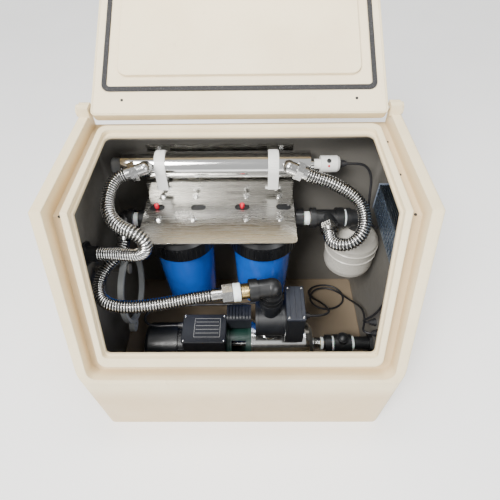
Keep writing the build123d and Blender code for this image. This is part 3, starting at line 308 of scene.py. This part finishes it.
def moulded(name, colour, roughness=0.45, grain=900, depth=0.00006, shade=0.86, edge=0.0006):
    """Moulded plastic: fine grain, gentle patches of colour and of gloss."""
    made = Surface(name, colour, roughness, edge=edge)
    darker = tuple(c * shade for c in colour)
    made.tint(made.ramp(made.noise(9, 4), 0.42, 0.68), darker)
    made.gloss(made.noise(35, 3), roughness - 0.07, roughness + 0.08)
    made.bump(made.noise(grain, 2), depth)
    return made


def brushed(name, colour, stretch, roughness=0.3, edge=0.0004, depth=0.00002):
    """Brushed or turned metal: long scratches along one direction."""
    made = Surface(name, colour, roughness, metallic=1.0, edge=edge)
    scratch = made.noise(60, 6, stretch, 0.7)
    made.tint(made.ramp(scratch, 0.35, 0.75), tuple(c * 0.78 for c in colour))
    made.gloss(made.noise(30, 5, stretch, 0.7), roughness - 0.08, roughness + 0.12)
    made.bump(scratch, depth)
    return made


def polyethylene(name, colour, dust):
    """Thick rotationally moulded wall: orange peel, soft mottling, scuffs and dusty patches."""
    made = Surface(name, colour, 0.5, edge=0.004)
    mottled = tuple(c * s for c, s in zip(colour, (0.93, 0.91, 0.88)))
    made.tint(made.ramp(made.noise(5, 5), 0.40, 0.72), mottled)
    made.tint(made.ramp(made.noise(55, 6, (1, 1, 0.25)), 0.60, 0.80, 0, 0.55), dust)
    made.tint(made.ramp(made.noise(420, 2), 0.66, 0.78, 0, 0.35), tuple(c * 0.8 for c in colour))
    scuff = made.noise(26, 9, (1, 1, 5), 0.75)
    made.tint(made.ramp(scuff, 0.66, 0.76, 0, 0.30), (0.42, 0.36, 0.30))
    made.gloss(made.noise(18, 4), 0.42, 0.60)
    made.bump(made.noise(620, 2), 0.00012)
    made.bump(made.noise(40, 3), 0.0005, 0.6)
    return made


def maths(surface, operation, *values):
    """One Math node fed with sockets and plain numbers."""
    made = surface.node("ShaderNodeMath")
    made.operation = operation
    for socket, value in zip(made.inputs, values):
        if isinstance(value, float):
            socket.default_value = value
        else:
            surface.tree.links.new(value, socket)
    return made.outputs[0]


def rim_depth(surface):
    """How far a point lies under the rim's two faces, in metres."""
    y, z = surface.axis(1), surface.axis(2)
    under_top = maths(surface, "SUBTRACT", RIM_TOP, z)
    along = maths(surface, "MULTIPLY_ADD", y, sin(SLOPE), -FRONT_Y * sin(SLOPE))
    down = maths(surface, "MULTIPLY_ADD", z, -cos(SLOPE), RIM_FRONT * cos(SLOPE))
    return maths(surface, "MINIMUM", under_top, maths(surface, "ADD", along, down))


def inside_walls(surface):
    """Mask for the painted shade inside the cabinet: 1 on the inner faces of the walls and floor,
    0 on the outer skin and the rim.
    """
    reach = []
    for axis, straight in enumerate(CORNER_START):
        distance = maths(surface, "ABSOLUTE", surface.axis(axis))
        beyond = maths(surface, "SUBTRACT", distance, straight)
        reach.append(maths(surface, "MAXIMUM", beyond, 0.0))
    squares = [maths(surface, "MULTIPLY", value, value) for value in reach]
    corner = maths(surface, "SQRT", maths(surface, "ADD", *squares))
    inner = maths(surface, "LESS_THAN", corner, CORNER_SPLIT)
    above_base = maths(surface, "GREATER_THAN", surface.axis(2), 0.003)
    inner = maths(surface, "MULTIPLY", inner, above_base)
    buried = surface.ramp(rim_depth(surface), 0.037, 0.040)
    return maths(surface, "MULTIPLY", inner, buried)


CREAM = (0.80, 0.685, 0.455)
DUST = (0.67, 0.54, 0.335)
# painted shade: grey for the inner walls, which are the same cream polyethylene as the outer skin
INNER_WALL_PAINTED_SHADE = (0.135, 0.128, 0.115)
# painted shade: dark tan for the inner floor, which is the same cream polyethylene
INNER_FLOOR_PAINTED_SHADE = (0.20, 0.155, 0.105)
cabinet_skin = polyethylene("cabinet_polyethylene", CREAM, DUST)
gutter_shade = cabinet_skin.ramp(rim_depth(cabinet_skin), 0.008, 0.034, 0, 0.75)
cabinet_skin.tint(gutter_shade, (0.58, 0.435, 0.255))
# painted shade on the inner faces of the walls and floor
cabinet_skin.tint(inside_walls(cabinet_skin), INNER_WALL_PAINTED_SHADE)
# painted shade on the cabinet's inner floor
floor_shade_mask = maths(cabinet_skin, "LESS_THAN", cabinet_skin.axis(2), FLOOR_TOP)
floor_shade_mask = maths(cabinet_skin, "MULTIPLY", floor_shade_mask, inside_walls(cabinet_skin))
cabinet_skin.tint(floor_shade_mask, INNER_FLOOR_PAINTED_SHADE)
lid_skin = polyethylene("lid_polyethylene", CREAM, DUST)
liner_skin = polyethylene("liner_polyethylene", (0.84, 0.72, 0.50), (0.71, 0.59, 0.39))

gasket_foam = Surface("gasket_foam", (0.018, 0.018, 0.02), 0.8, edge=0.0015)
gasket_foam.bump(gasket_foam.noise(1500, 3), 0.0003)
gasket_foam.tint(gasket_foam.ramp(gasket_foam.noise(300, 3), 0.5, 0.7), (0.045, 0.045, 0.048))

sheet_steel = brushed("sheet_stainless", (0.43, 0.42, 0.395), (0.5, 16, 16), 0.24)
bolt_steel = brushed("bolt_steel", (0.70, 0.70, 0.69), (3, 3, 3), 0.2)
nut_steel = brushed("nut_nickel", (0.50, 0.50, 0.49), (5, 5, 5), 0.2)
turned_steel = brushed("turned_steel", (0.6, 0.6, 0.6), (40, 2, 2), 0.25)
hose_steel = Surface("corrugated_stainless", (0.66, 0.66, 0.65), 0.16, metallic=1.0, edge=0)
hose_steel.gloss(hose_steel.noise(180, 4), 0.12, 0.24)
# painted shade: the corrugation troughs are the same stainless as the crests, drawn in a dark
# steel
hose_trough_shade = brushed("corrugated_trough_painted_shade", (0.12, 0.12, 0.118), (4, 4, 4), 0.35)
hose_steel.tint(hose_steel.ramp(hose_steel.noise(70, 4), 0.55, 0.8), (0.50, 0.49, 0.47))
polished = Surface("polished_stainless", (0.72, 0.72, 0.71), 0.08, metallic=1.0, edge=0.0008)
polished.gloss(polished.noise(30, 6, (1, 12, 12), 0.7), 0.05, 0.15)
polished.bump(polished.noise(25, 4, (1, 6, 6)), 0.00003)
barrel_steel = Surface("drawn_stainless", (0.68, 0.68, 0.67), 0.12, metallic=1.0, edge=0.0008)
barrel_steel.gloss(barrel_steel.noise(20, 6, (30, 1, 1), 0.7), 0.10, 0.24)
brass = brushed("brass_thread", (0.62, 0.46, 0.20), (8, 8, 8), 0.28)
black_cap = moulded("black_cap_plastic", (0.007, 0.0075, 0.0085), 0.34, 1400, 0.00003, 0.7)
black_fitting = moulded("black_fitting_plastic", (0.0085, 0.009, 0.010), 0.40, 1200, 0.00004, 0.7)
gland_black = moulded("gland_nylon", (0.018, 0.018, 0.020), 0.42, 1500, 0.00003, 0.75, 0.0003)
blue_sump = moulded("blue_polypropylene", (0.010, 0.105, 0.52), 0.16, 700, 0.00003, 0.72)
red_button = moulded("red_button_plastic", (0.62, 0.012, 0.035), 0.25, 1500, 0.00002, 0.8, 0.0004)
white_plastic = moulded("white_plastic", (0.80, 0.80, 0.78), 0.32, 1200, 0.00003, 0.93)
tank_paint = moulded("tank_enamel", (0.50, 0.48, 0.43), 0.30, 500, 0.00005, 0.93)
grey_plug = moulded("grey_plug_plastic", (0.30, 0.31, 0.32), 0.4)
wrench_grey = moulded("wrench_nylon", (0.30, 0.31, 0.31), 0.38, 1000, 0.00004, 0.88)
motor_paint = moulded("motor_enamel", (0.009, 0.010, 0.012), 0.35, 700, 0.00006, 0.7)
bracket_green = moulded("bracket_enamel", (0.008, 0.034, 0.026), 0.38, 500, 0.00010, 0.7)
box_grey = moulded("box_plastic", (0.011, 0.0125, 0.017), 0.44, 1100, 0.00005, 0.8)
control_dark = moulded("control_plastic", (0.0085, 0.0095, 0.012), 0.42, 1100, 0.00005, 0.8)
control_grey = moulded("control_lid_plastic", (0.016, 0.019, 0.028), 0.40, 1100, 0.00005, 0.85)
ballast_alu = brushed("ballast_aluminium", (0.22, 0.27, 0.34), (3, 1, 30), 0.33)
ballast_cap = moulded("ballast_cap_plastic", (0.16, 0.19, 0.24), 0.45)
cable_black = Surface("cable_sheath", (0.014, 0.014, 0.016), 0.42, edge=0)
cable_black.gloss(cable_black.noise(120, 3), 0.34, 0.52)
cable_black.bump(cable_black.noise(900, 2), 0.00003)
quartz = Surface("quartz_glass", (0.9, 0.93, 0.95), 0.04, edge=0, transmission_weight=1.0)
quartz.gloss(quartz.noise(60, 3), 0.02, 0.07)
fleece = Surface("filter_fleece", (0.80, 0.79, 0.74), 0.9, edge=0)
fleece.bump(fleece.noise(1200, 4), 0.0003)
fleece.tint(fleece.ramp(fleece.noise(40, 4), 0.5, 0.75), (0.62, 0.58, 0.50))
plate_print = moulded("plate_print", (0.42, 0.42, 0.41), 0.5)
copper = brushed("stator_copper", (0.50, 0.24, 0.11), (1, 20, 20), 0.4)
ptfe = Surface("ptfe_tape", (0.86, 0.86, 0.84), 0.5, edge=0, subsurface_weight=0.2)
ptfe.bump(ptfe.noise(500, 4, (1, 1, 1)), 0.0003)
ptfe.tint(ptfe.ramp(ptfe.noise(200, 3), 0.5, 0.75), (0.72, 0.72, 0.70))

LOOKS = {
    "cabinet_tub": cabinet_skin,
    "lid_shell": lid_skin,
    "lid_liner": liner_skin,
    "lid_gasket": gasket_foam,
    "hinge_pins": turned_steel,
    "filter_bracket": sheet_steel,
    "bracket_bolts": bolt_steel,
    "filter_cap_left": black_cap,
    "filter_cap_right": black_cap,
    "filter_sump_left": blue_sump,
    "filter_sump_right": blue_sump,
    "sump_seals": gasket_foam,
    "filter_cartridge_left": fleece,
    "filter_cartridge_right": fleece,
    "relief_button_left": red_button,
    "relief_button_right": red_button,
    "link_nipples": brass,
    "filter_wrench": wrench_grey,
    "hose_nuts": nut_steel,
    "filter_inlet_elbow": black_fitting,
    "outlet_tee": black_fitting,
    "tank_elbow": black_fitting,
    "pressure_tank": tank_paint,
    "bulkheads": black_fitting,
    "uv_chamber": polished,
    "uv_end_plug": grey_plug,
    "quartz_sleeve": quartz,
    "uv_lamp": quartz,
    "lamp_cap": white_plastic,
    "uv_straps": white_plastic,
    "uv_port_elbows": nut_steel,
    "motor_housing": motor_paint,
    "stator": copper,
    "shaft_bearings": turned_steel,
    "rotor_shaft": turned_steel,
    "motor_fan": black_fitting,
    "fan_cover": motor_paint,
    "motor_bracket": bracket_green,
    "bracket_shroud": box_grey,
    "pump_barrel": barrel_steel,
    "impellers": white_plastic,
    "pump_foot": motor_paint,
    "terminal_box": box_grey,
    "terminal_box_lid": box_grey,
    "controller_drum": control_dark,
    "controller_box": control_dark,
    "controller_lid": control_grey,
    "controller_elbow": black_fitting,
    "suction_valve": black_fitting,
    "suction_pipe": black_fitting,
    "cable_glands": gland_black,
    "ballast_case": ballast_alu,
    "ballast_end_caps": ballast_cap,
}
for node_name, look in LOOKS.items():
    mesh = NODES[node_name].data
    mesh.materials.clear()
    mesh.materials.append(look.material)


# ---- mesh helpers ---------------------------------------------------------------------------
def add_piece(name, vertices, faces, look, body="cabinet", slot=None, smooth=True):
    mesh = bpy.data.meshes.new(name)
    mesh.from_pydata([tuple(v) for v in vertices], [], faces)
    mesh.validate()
    mesh.update()
    for polygon in mesh.polygons:
        polygon.use_smooth = smooth
    mesh.materials.append(look.material)
    piece = bpy.data.objects.new(name, mesh)
    bpy.context.scene.collection.objects.link(piece)
    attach(piece, body)
    return piece


def spline_of(name, points):
    """An open curve whose control points are the route's points."""
    curve = bpy.data.curves.new(name, "CURVE")
    curve.dimensions = "3D"
    curve.resolution_u = 24
    spline = curve.splines.new("NURBS")
    spline.points.add(len(points) - 1)
    for target, place in zip(spline.points, points):
        target.co = (*place, 1)
    spline.order_u = 3
    spline.use_endpoint_u = True
    return curve


def line_of(name, points):
    """The smooth line that the route's spline follows, as points."""
    curve = spline_of(name, points)
    holder = bpy.data.objects.new(name, curve)
    bpy.context.scene.collection.objects.link(holder)
    bpy.context.view_layer.update()
    mesh = bpy.data.meshes.new_from_object(holder)
    line = [vertex.co.copy() for vertex in mesh.vertices]
    bpy.data.objects.remove(holder)
    bpy.data.curves.remove(curve)
    bpy.data.meshes.remove(mesh)
    return line


def evenly(line, spacing):
    """Points along the line at an even spacing, with the length."""
    total = sum((b - a).length for a, b in zip(line, line[1:]))
    count = max(2, round(total / spacing))
    target, walked, found = total / count, 0.0, [line[0]]
    for a, b in zip(line, line[1:]):
        run = (b - a).length
        while walked + run >= target * len(found) and len(found) < count:
            share = (target * len(found) - walked) / run
            found.append(a.lerp(b, share))
        walked += run
    found.append(line[-1])
    return found, total


def ring_frames(points):
    """Two directions across the line at each point, carried along without twisting."""
    side = (points[1] - points[0]).orthogonal().normalized()
    frames = []
    for i, here in enumerate(points):
        ahead = points[min(i + 1, len(points) - 1)] - points[max(i - 1, 0)]
        ahead.normalize()
        side = (side - ahead * side.dot(ahead)).normalized()
        frames.append((here, side, ahead.cross(side)))
    return frames


def ring_faces(rows, segments):
    """Faces of a closed tube over rows of ring vertices."""
    faces = []
    for i in range(rows - 1):
        for k in range(segments):
            a, b = i * segments + k, i * segments + (k + 1) % segments
            faces.append((a, b, b + segments, a + segments))
    faces.append(tuple(range(segments))[::-1])
    faces.append(tuple(range((rows - 1) * segments, rows * segments)))
    return faces


def skin(frames, radii, segments):
    """Vertices and faces of a tube with a radius at each frame."""
    vertices = []
    for (centre, u, v), radius in zip(frames, radii):
        for k in range(segments):
            angle = 2 * pi * k / segments
            vertices.append(centre + (u * cos(angle) + v * sin(angle)) * radius)
    return vertices, ring_faces(len(frames), segments)


def straight_frames(origin, aim, stations):
    """Frames along a straight axis at the given distances."""
    aim = Vector(aim).normalized()
    u = aim.orthogonal().normalized()
    v = aim.cross(u)
    return [(Vector(origin) + aim * s, u, v) for s in stations]


def turned(name, origin, aim, profile, look, segments=64, slot=None, body="cabinet"):
    """A closed solid of revolution from (distance, radius) pairs in millimetres."""
    frames = straight_frames(origin, aim, [s * MM for s, _ in profile])
    vertices, faces = skin(frames, [r * MM for _, r in profile], segments)
    return add_piece(name, vertices, faces, look, body, slot)


def box_mesh(low, high):
    x, y, z = zip(low, high)
    vertices = [(x[i], y[j], z[k]) for i in (0, 1) for j in (0, 1) for k in (0, 1)]
    faces = [(0, 1, 3, 2), (4, 6, 7, 5), (0, 4, 5, 1), (2, 3, 7, 6), (0, 2, 6, 4), (1, 5, 7, 3)]
    return vertices, faces


def merged(parts):
    """Several (vertices, faces) joined into one pair."""
    vertices, faces = [], []
    for part_vertices, part_faces in parts:
        base = len(vertices)
        vertices += list(part_vertices)
        faces += [tuple(base + i for i in face) for face in part_faces]
    return vertices, faces


def bevelled(piece, width, segments=2):
    """Rounded edges on a piece of our own."""
    modifier = piece.modifiers.new("edge", "BEVEL")
    modifier.width = width
    modifier.segments = segments
    modifier.limit_method = "ANGLE"
    return piece


# ---- hoses and cables -----------------------------------------------------------------------
CORRUGATION = 0.0066
CREST_R = 0.0163
TROUGH_R = 0.0126
STEPS_PER_RIB = 8
HOSE_SEGMENTS = 40
# the steps of each rib that take the dark painted-shade steel
TROUGH_STEPS = (2, 3, 4, 5)


def corrugated_hose(node, points):
    """An annular corrugated hose along its route, with painted shade in its troughs."""
    line = line_of(node + "_line", points)
    stations, length = evenly(line, CORRUGATION / STEPS_PER_RIB)
    radii = []
    for i in range(len(stations)):
        wave = 0.5 + 0.5 * cos(2 * pi * i / STEPS_PER_RIB)
        radii.append(TROUGH_R + (CREST_R - TROUGH_R) * wave**0.75)
    vertices, faces = skin(ring_frames(stations), radii, HOSE_SEGMENTS)
    hose = add_piece(node + "_corrugated", vertices, faces, hose_steel, slot="hose_steel")
    # painted shade: the trough rings get the dark steel
    hose.data.materials.append(hose_trough_shade.material)
    for polygon in hose.data.polygons[:-2]:
        if (polygon.index // HOSE_SEGMENTS) % STEPS_PER_RIB in TROUGH_STEPS:
            polygon.material_index = 1
    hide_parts(node)
    return hose


def round_cable(node, points):
    """A round sheathed cable along its route."""
    line = line_of(node + "_line", points)
    curve = spline_of(node + "_sheath", points)
    curve.bevel_depth = CABLE_D / 2
    curve.bevel_resolution = 5
    curve.use_fill_caps = True
    curve.materials.append(cable_black.material)
    cable = bpy.data.objects.new(node + "_sheath", curve)
    bpy.context.scene.collection.objects.link(cable)
    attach(cable, "cabinet")
    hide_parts(node)
    return cable


corrugated_hose("pump_hose", PUMP_ROUTE)
corrugated_hose("outlet_hose", OUTLET_ROUTE)
corrugated_hose("uv_feed_hose", FEED_ROUTE)
round_cable("lamp_cable", LAMP_ROUTE)
round_cable("ballast_cable", BALLAST_ROUTE)
round_cable("mains_cable", MAINS_ROUTE)
round_cable("motor_cable", MOTOR_ROUTE)


# ---- small details --------------------------------------------------------------------------
def threads(name, origin, aim, start, end, radius, look, slot):
    """Ridges of a screw thread over a plain bar."""
    pitch = 2.3
    count = int((end - start) / pitch)
    profile = []
    for i in range(count * 4 + 1):
        phase = i % 4
        profile.append((start + i * pitch / 4, radius + (0.1, 0.55, 0.75, 0.55)[phase]))
    return turned(name, origin, aim, profile, look, 48, slot)


def tape(name, origin, aim, start, end, radius, seed):
    """White thread tape: a wrapped band with uneven edges."""
    segments, rows = 56, 9
    centre, u, v = straight_frames(origin, aim, [0.0])[0]
    aim = Vector(aim).normalized()
    vertices = []
    for i in range(rows):
        share = i / (rows - 1)
        edge = 1 if 0 < i < rows - 1 else 0
        for k in range(segments):
            angle = 2 * pi * k / segments
            ripple = sin(angle * 5 + seed + share * 4) * 0.22
            ripple += sin(angle * 11 + seed * 3) * 0.12
            along = start + (end - start) * share + sin(angle * 3 + seed) * 0.7 * edge
            out = radius + (0.9 + ripple + 0.35 * sin(share * 9 + angle * 2)) * edge
            across = u * cos(angle) + v * sin(angle)
            vertices.append(centre + aim * along * MM + across * out * MM)
    return add_piece(name, vertices, ring_faces(rows, segments), ptfe)


tape("ptfe_union", CONTROLLER_ELBOW, FEED_AIM, 76, 94, 21.6, 0.4)
tape("ptfe_left_port", PORT_LEVEL, (1, 0, 0), -277, -263, 16.6, 1.9)
tape("ptfe_right_port", PORT_LEVEL, (1, 0, 0), 160.5, 176.5, 16.6, 2.2)
tape("ptfe_tee_right", PORT_LEVEL, (1, 0, 0), 263, 268.5, 21.0, 3.1)
tape("ptfe_pump_inlet", PUMP_AXIS, (1, 0, 0), 226, 233.5, 16.8, 0.9)
tape("ptfe_valve_left", PUMP_AXIS, (1, 0, 0), 257.5, 263.5, 20.2, 1.3)
tape("ptfe_valve_right", PUMP_AXIS, (1, 0, 0), 314.5, 322, 20.2, 2.7)
threads("pump_inlet_threads", PUMP_AXIS, (1, 0, 0), 208.5, 226, 16.4, nut_steel, "nut_steel")
threads("union_threads", CONTROLLER_ELBOW, FEED_AIM, 55.5, 75, 18.8, brass, "brass")


def heads(name, places, aim, radius, height, look, slot=None, body="cabinet"):
    """A set of small domed screw heads with a shallow recess."""
    aim = Vector(aim).normalized()
    parts = []
    for place in places:
        levels = (-0.5, 0.35, 0.8, 1.0, 0.7, 0.55)
        frames = straight_frames(place, aim, [level * height for level in levels])
        shape = [radius * r for r in (1.0, 1.0, 0.86, 0.5, 0.4, 0.06)]
        parts.append(skin(frames, shape, 24))
    return add_piece(name, *merged(parts), look, body, slot)


def bars(name, boxes, look, slot=None, body="cabinet", soft=0.0):
    """Several small blocks as one piece, with softened edges when soft is given."""
    piece = add_piece(name, *merged([box_mesh(*b) for b in boxes]), look, body, slot, smooth=False)
    if soft:
        bevelled(piece, soft)
    return piece


def opened(place):
    """A point of the closed lid where it is with the lid open."""
    turn = Matrix.Rotation(radians(LID_SWING), 3, "X")
    axle = Vector((0, HINGE[0], HINGE[1]))
    return axle + turn @ (Vector(place) - axle)


# terminal box: ruled plate on the lid and its four screws
PLATE_LOW, PLATE_HIGH, PLATE_Z = (-0.132, -0.095), (-0.061, -0.037), 0.2028
LINE_WIDTH, LINE_HEIGHT = 0.0007, 0.0003
left, front = PLATE_LOW
right, back = PLATE_HIGH
rules = [
    (left, front, right, front + LINE_WIDTH),
    (left, back - LINE_WIDTH, right, back),
    (left, front, left + LINE_WIDTH, back),
    (right - LINE_WIDTH, front, right, back),
]
for row in range(4):
    y = front + 0.012 + row * 0.0115
    rules.append((left + 0.004, y, right - 0.004, y + LINE_WIDTH))
plate = [
    ((x0, y0, PLATE_Z - 0.001), (x1, y1, PLATE_Z + LINE_HEIGHT)) for x0, y0, x1, y1 in rules
]
bars("terminal_plate_rules", plate, plate_print, "box_grey")
corners = [(x, y, 0.202) for x in (-0.1595, -0.0505) for y in (-0.1055, -0.0285)]
heads("terminal_screws", corners, (0, 0, 1), 0.0032, 0.0016, bolt_steel, "bolt_steel")
corners = [(x, y, 0.325) for x in (0.1185, 0.154) for y in (-0.110, -0.022)]
heads("controller_screws", corners, (0, 0, 1), 0.003, 0.0016, bolt_steel, "bolt_steel")

# lamp cap: push button and lens
CAP_FACE = Vector((0.219, UV_AXIS.y, UV_AXIS.z))
button_aim, lens_aim = Vector((0, -0.55, 0.835)), Vector((0, -0.93, 0.37))
turned(
    "lamp_button",
    CAP_FACE,
    button_aim,
    [
        (19.5, 5.6),
        (21.4, 5.6),
        (21.8, 5.2),
        (21.8, 4.3),
        (21.5, 4.1),
        (22.6, 3.9),
        (22.9, 3.2),
        (23.0, 0.1),
    ],
    black_fitting,
    40,
    "black_fitting",
)
turned(
    "lamp_lens",
    CAP_FACE,
    lens_aim,
    [(19.5, 2.9), (21.2, 2.9), (21.6, 2.3), (22.4, 1.9), (22.8, 1.1), (22.9, 0.1)],
    red_button,
    32,
    "red_button",
)

# grip ribs round the filter caps and cross ribs on the tube straps
RIB_FACES = [(0, 2, 3, 1), (4, 5, 7, 6), (0, 1, 5, 4), (2, 6, 7, 3), (0, 4, 6, 2), (1, 3, 7, 5)]
CAP_RIBS = 48
CAP_RIB_ENDS = (0.383, 0.420)
CAP_RIB_SHAPE = ((0.0912, 0.0026), (0.0936, 0.0014))      # radius and half width: root, crest
STRAP_RIBS = 40
STRAP_RIB_SHAPE = ((0.0354, 0.0009), (0.0367, 0.0005))
STRAP_X = (-0.197, 0.082)


def rib(ends, shape, out, across):
    """One tapered rib between two end points: wide at its root, narrow at its crest."""
    points = []
    for end in ends:
        for radial, wide in shape:
            points += [end + out * radial + across * w for w in (-wide, wide)]
    return points, RIB_FACES


for side, centre_x in zip(("left", "right"), FILTER_X):
    parts = []
    for k in range(CAP_RIBS):
        angle = 2 * pi * k / CAP_RIBS
        if abs(sin(angle)) < 0.30:
            continue
        out = Vector((cos(angle), sin(angle), 0))
        across = Vector((-sin(angle), cos(angle), 0))
        ends = [Vector((centre_x, PORT_LEVEL.y, z)) for z in CAP_RIB_ENDS]
        parts.append(rib(ends, CAP_RIB_SHAPE, out, across))
    add_piece("cap_ribs_" + side, *merged(parts), black_cap, slot="black_cap", smooth=False)

for side, x in zip(("left", "right"), STRAP_X):
    parts = []
    for k in range(STRAP_RIBS):
        angle = radians(-30 + 240 * k / (STRAP_RIBS - 1))
        out = Vector((0, -cos(angle), sin(angle)))
        across = Vector((0, sin(angle), cos(angle)))
        ends = [UV_AXIS + Vector((x + dx, 0, 0)) for dx in (-0.0105, 0.0105)]
        parts.append(rib(ends, STRAP_RIB_SHAPE, out, across))
    name = "strap_ribs_" + side
    add_piece(name, *merged(parts), white_plastic, slot="white_strap", smooth=False)

# small dark screws in the gutter and on the lid's inner face
gutter_floor = RIM_TOP - GUTTER_DEPTH
places = [(side * 0.341, y, gutter_floor) for side in (-1, 1) for y in (-0.075, 0.045, 0.165)]
heads("gutter_screws", places, (0, 0, 1), 0.0030, 0.0018, gasket_foam)
places = [opened((side * 0.272, 0.216, LID_INNER_Z)) for side in (-1, 1)]
down = opened((0, 0.216, LID_INNER_Z - 0.01)) - opened((0, 0.216, LID_INNER_Z))
heads("lid_screws", places, down, 0.0034, 0.0018, gasket_foam, body="lid")

# ballast: cooling ribs along its inner face
starts = [-0.078 + 0.0125 * k for k in range(16)]
ribs = [((0.3366, y, 0.470), (0.3384, y + 0.003, 0.538)) for y in starts]
bars("ballast_ribs", ribs, ballast_alu, "ballast_alu", soft=0.0005)

# ---- lights, floor --------------------------------------------------------------------------
def area_light(name, place, target, size, power, colour=(1, 1, 1)):
    data = bpy.data.lights.new(name, "AREA")
    data.shape = "RECTANGLE"
    data.size, data.size_y = size
    data.energy = power
    data.color = colour
    light = bpy.data.objects.new(name, data)
    light.location = place
    light.rotation_euler = (Vector(target) - Vector(place)).to_track_quat("-Z", "Y").to_euler()
    bpy.context.scene.collection.objects.link(light)


area_light("key", (-0.9, -1.3, 2.3), (0, -0.1, 0.45), (1.0, 0.8), 60, (1, 0.985, 0.96))
area_light("fill", (1.6, -1.5, 1.3), (0, 0, 0.3), (1.4, 1.2), 26, (0.97, 0.985, 1))
area_light("top", (0.0, 0.2, 2.4), (0, 0.05, 0.4), (0.8, 0.5), 22, (1, 1, 1))

sun_data = bpy.data.lights.new("sun", "SUN")
sun_data.energy = 3.6
sun_data.angle = radians(24)
sun_data.color = (1, 0.99, 0.965)
sun = bpy.data.objects.new("sun", sun_data)
sun.rotation_euler = Vector((0.42, 0.62, -0.85)).to_track_quat("-Z", "Y").to_euler()
bpy.context.scene.collection.objects.link(sun)

world = bpy.data.worlds.new("studio")
world.use_nodes = True
world.node_tree.nodes["Background"].inputs["Color"].default_value = (1, 1, 1, 1)
world.node_tree.nodes["Background"].inputs["Strength"].default_value = 0.75
bpy.context.scene.world = world

floor_look = Surface("floor_pale", (0.97, 0.97, 0.97), 0.7, edge=0)
floor_look.gloss(floor_look.noise(3, 2), 0.6, 0.8)
floor_mesh = bpy.data.meshes.new("floor")
floor_mesh.from_pydata([(-8, -8, 0), (8, -8, 0), (8, 8, 0), (-8, 8, 0)], [], [(0, 1, 2, 3)])
floor_mesh.materials.append(floor_look.material)
floor = bpy.data.objects.new("floor", floor_mesh)
floor.location.z = -0.0006
bpy.context.scene.collection.objects.link(floor)
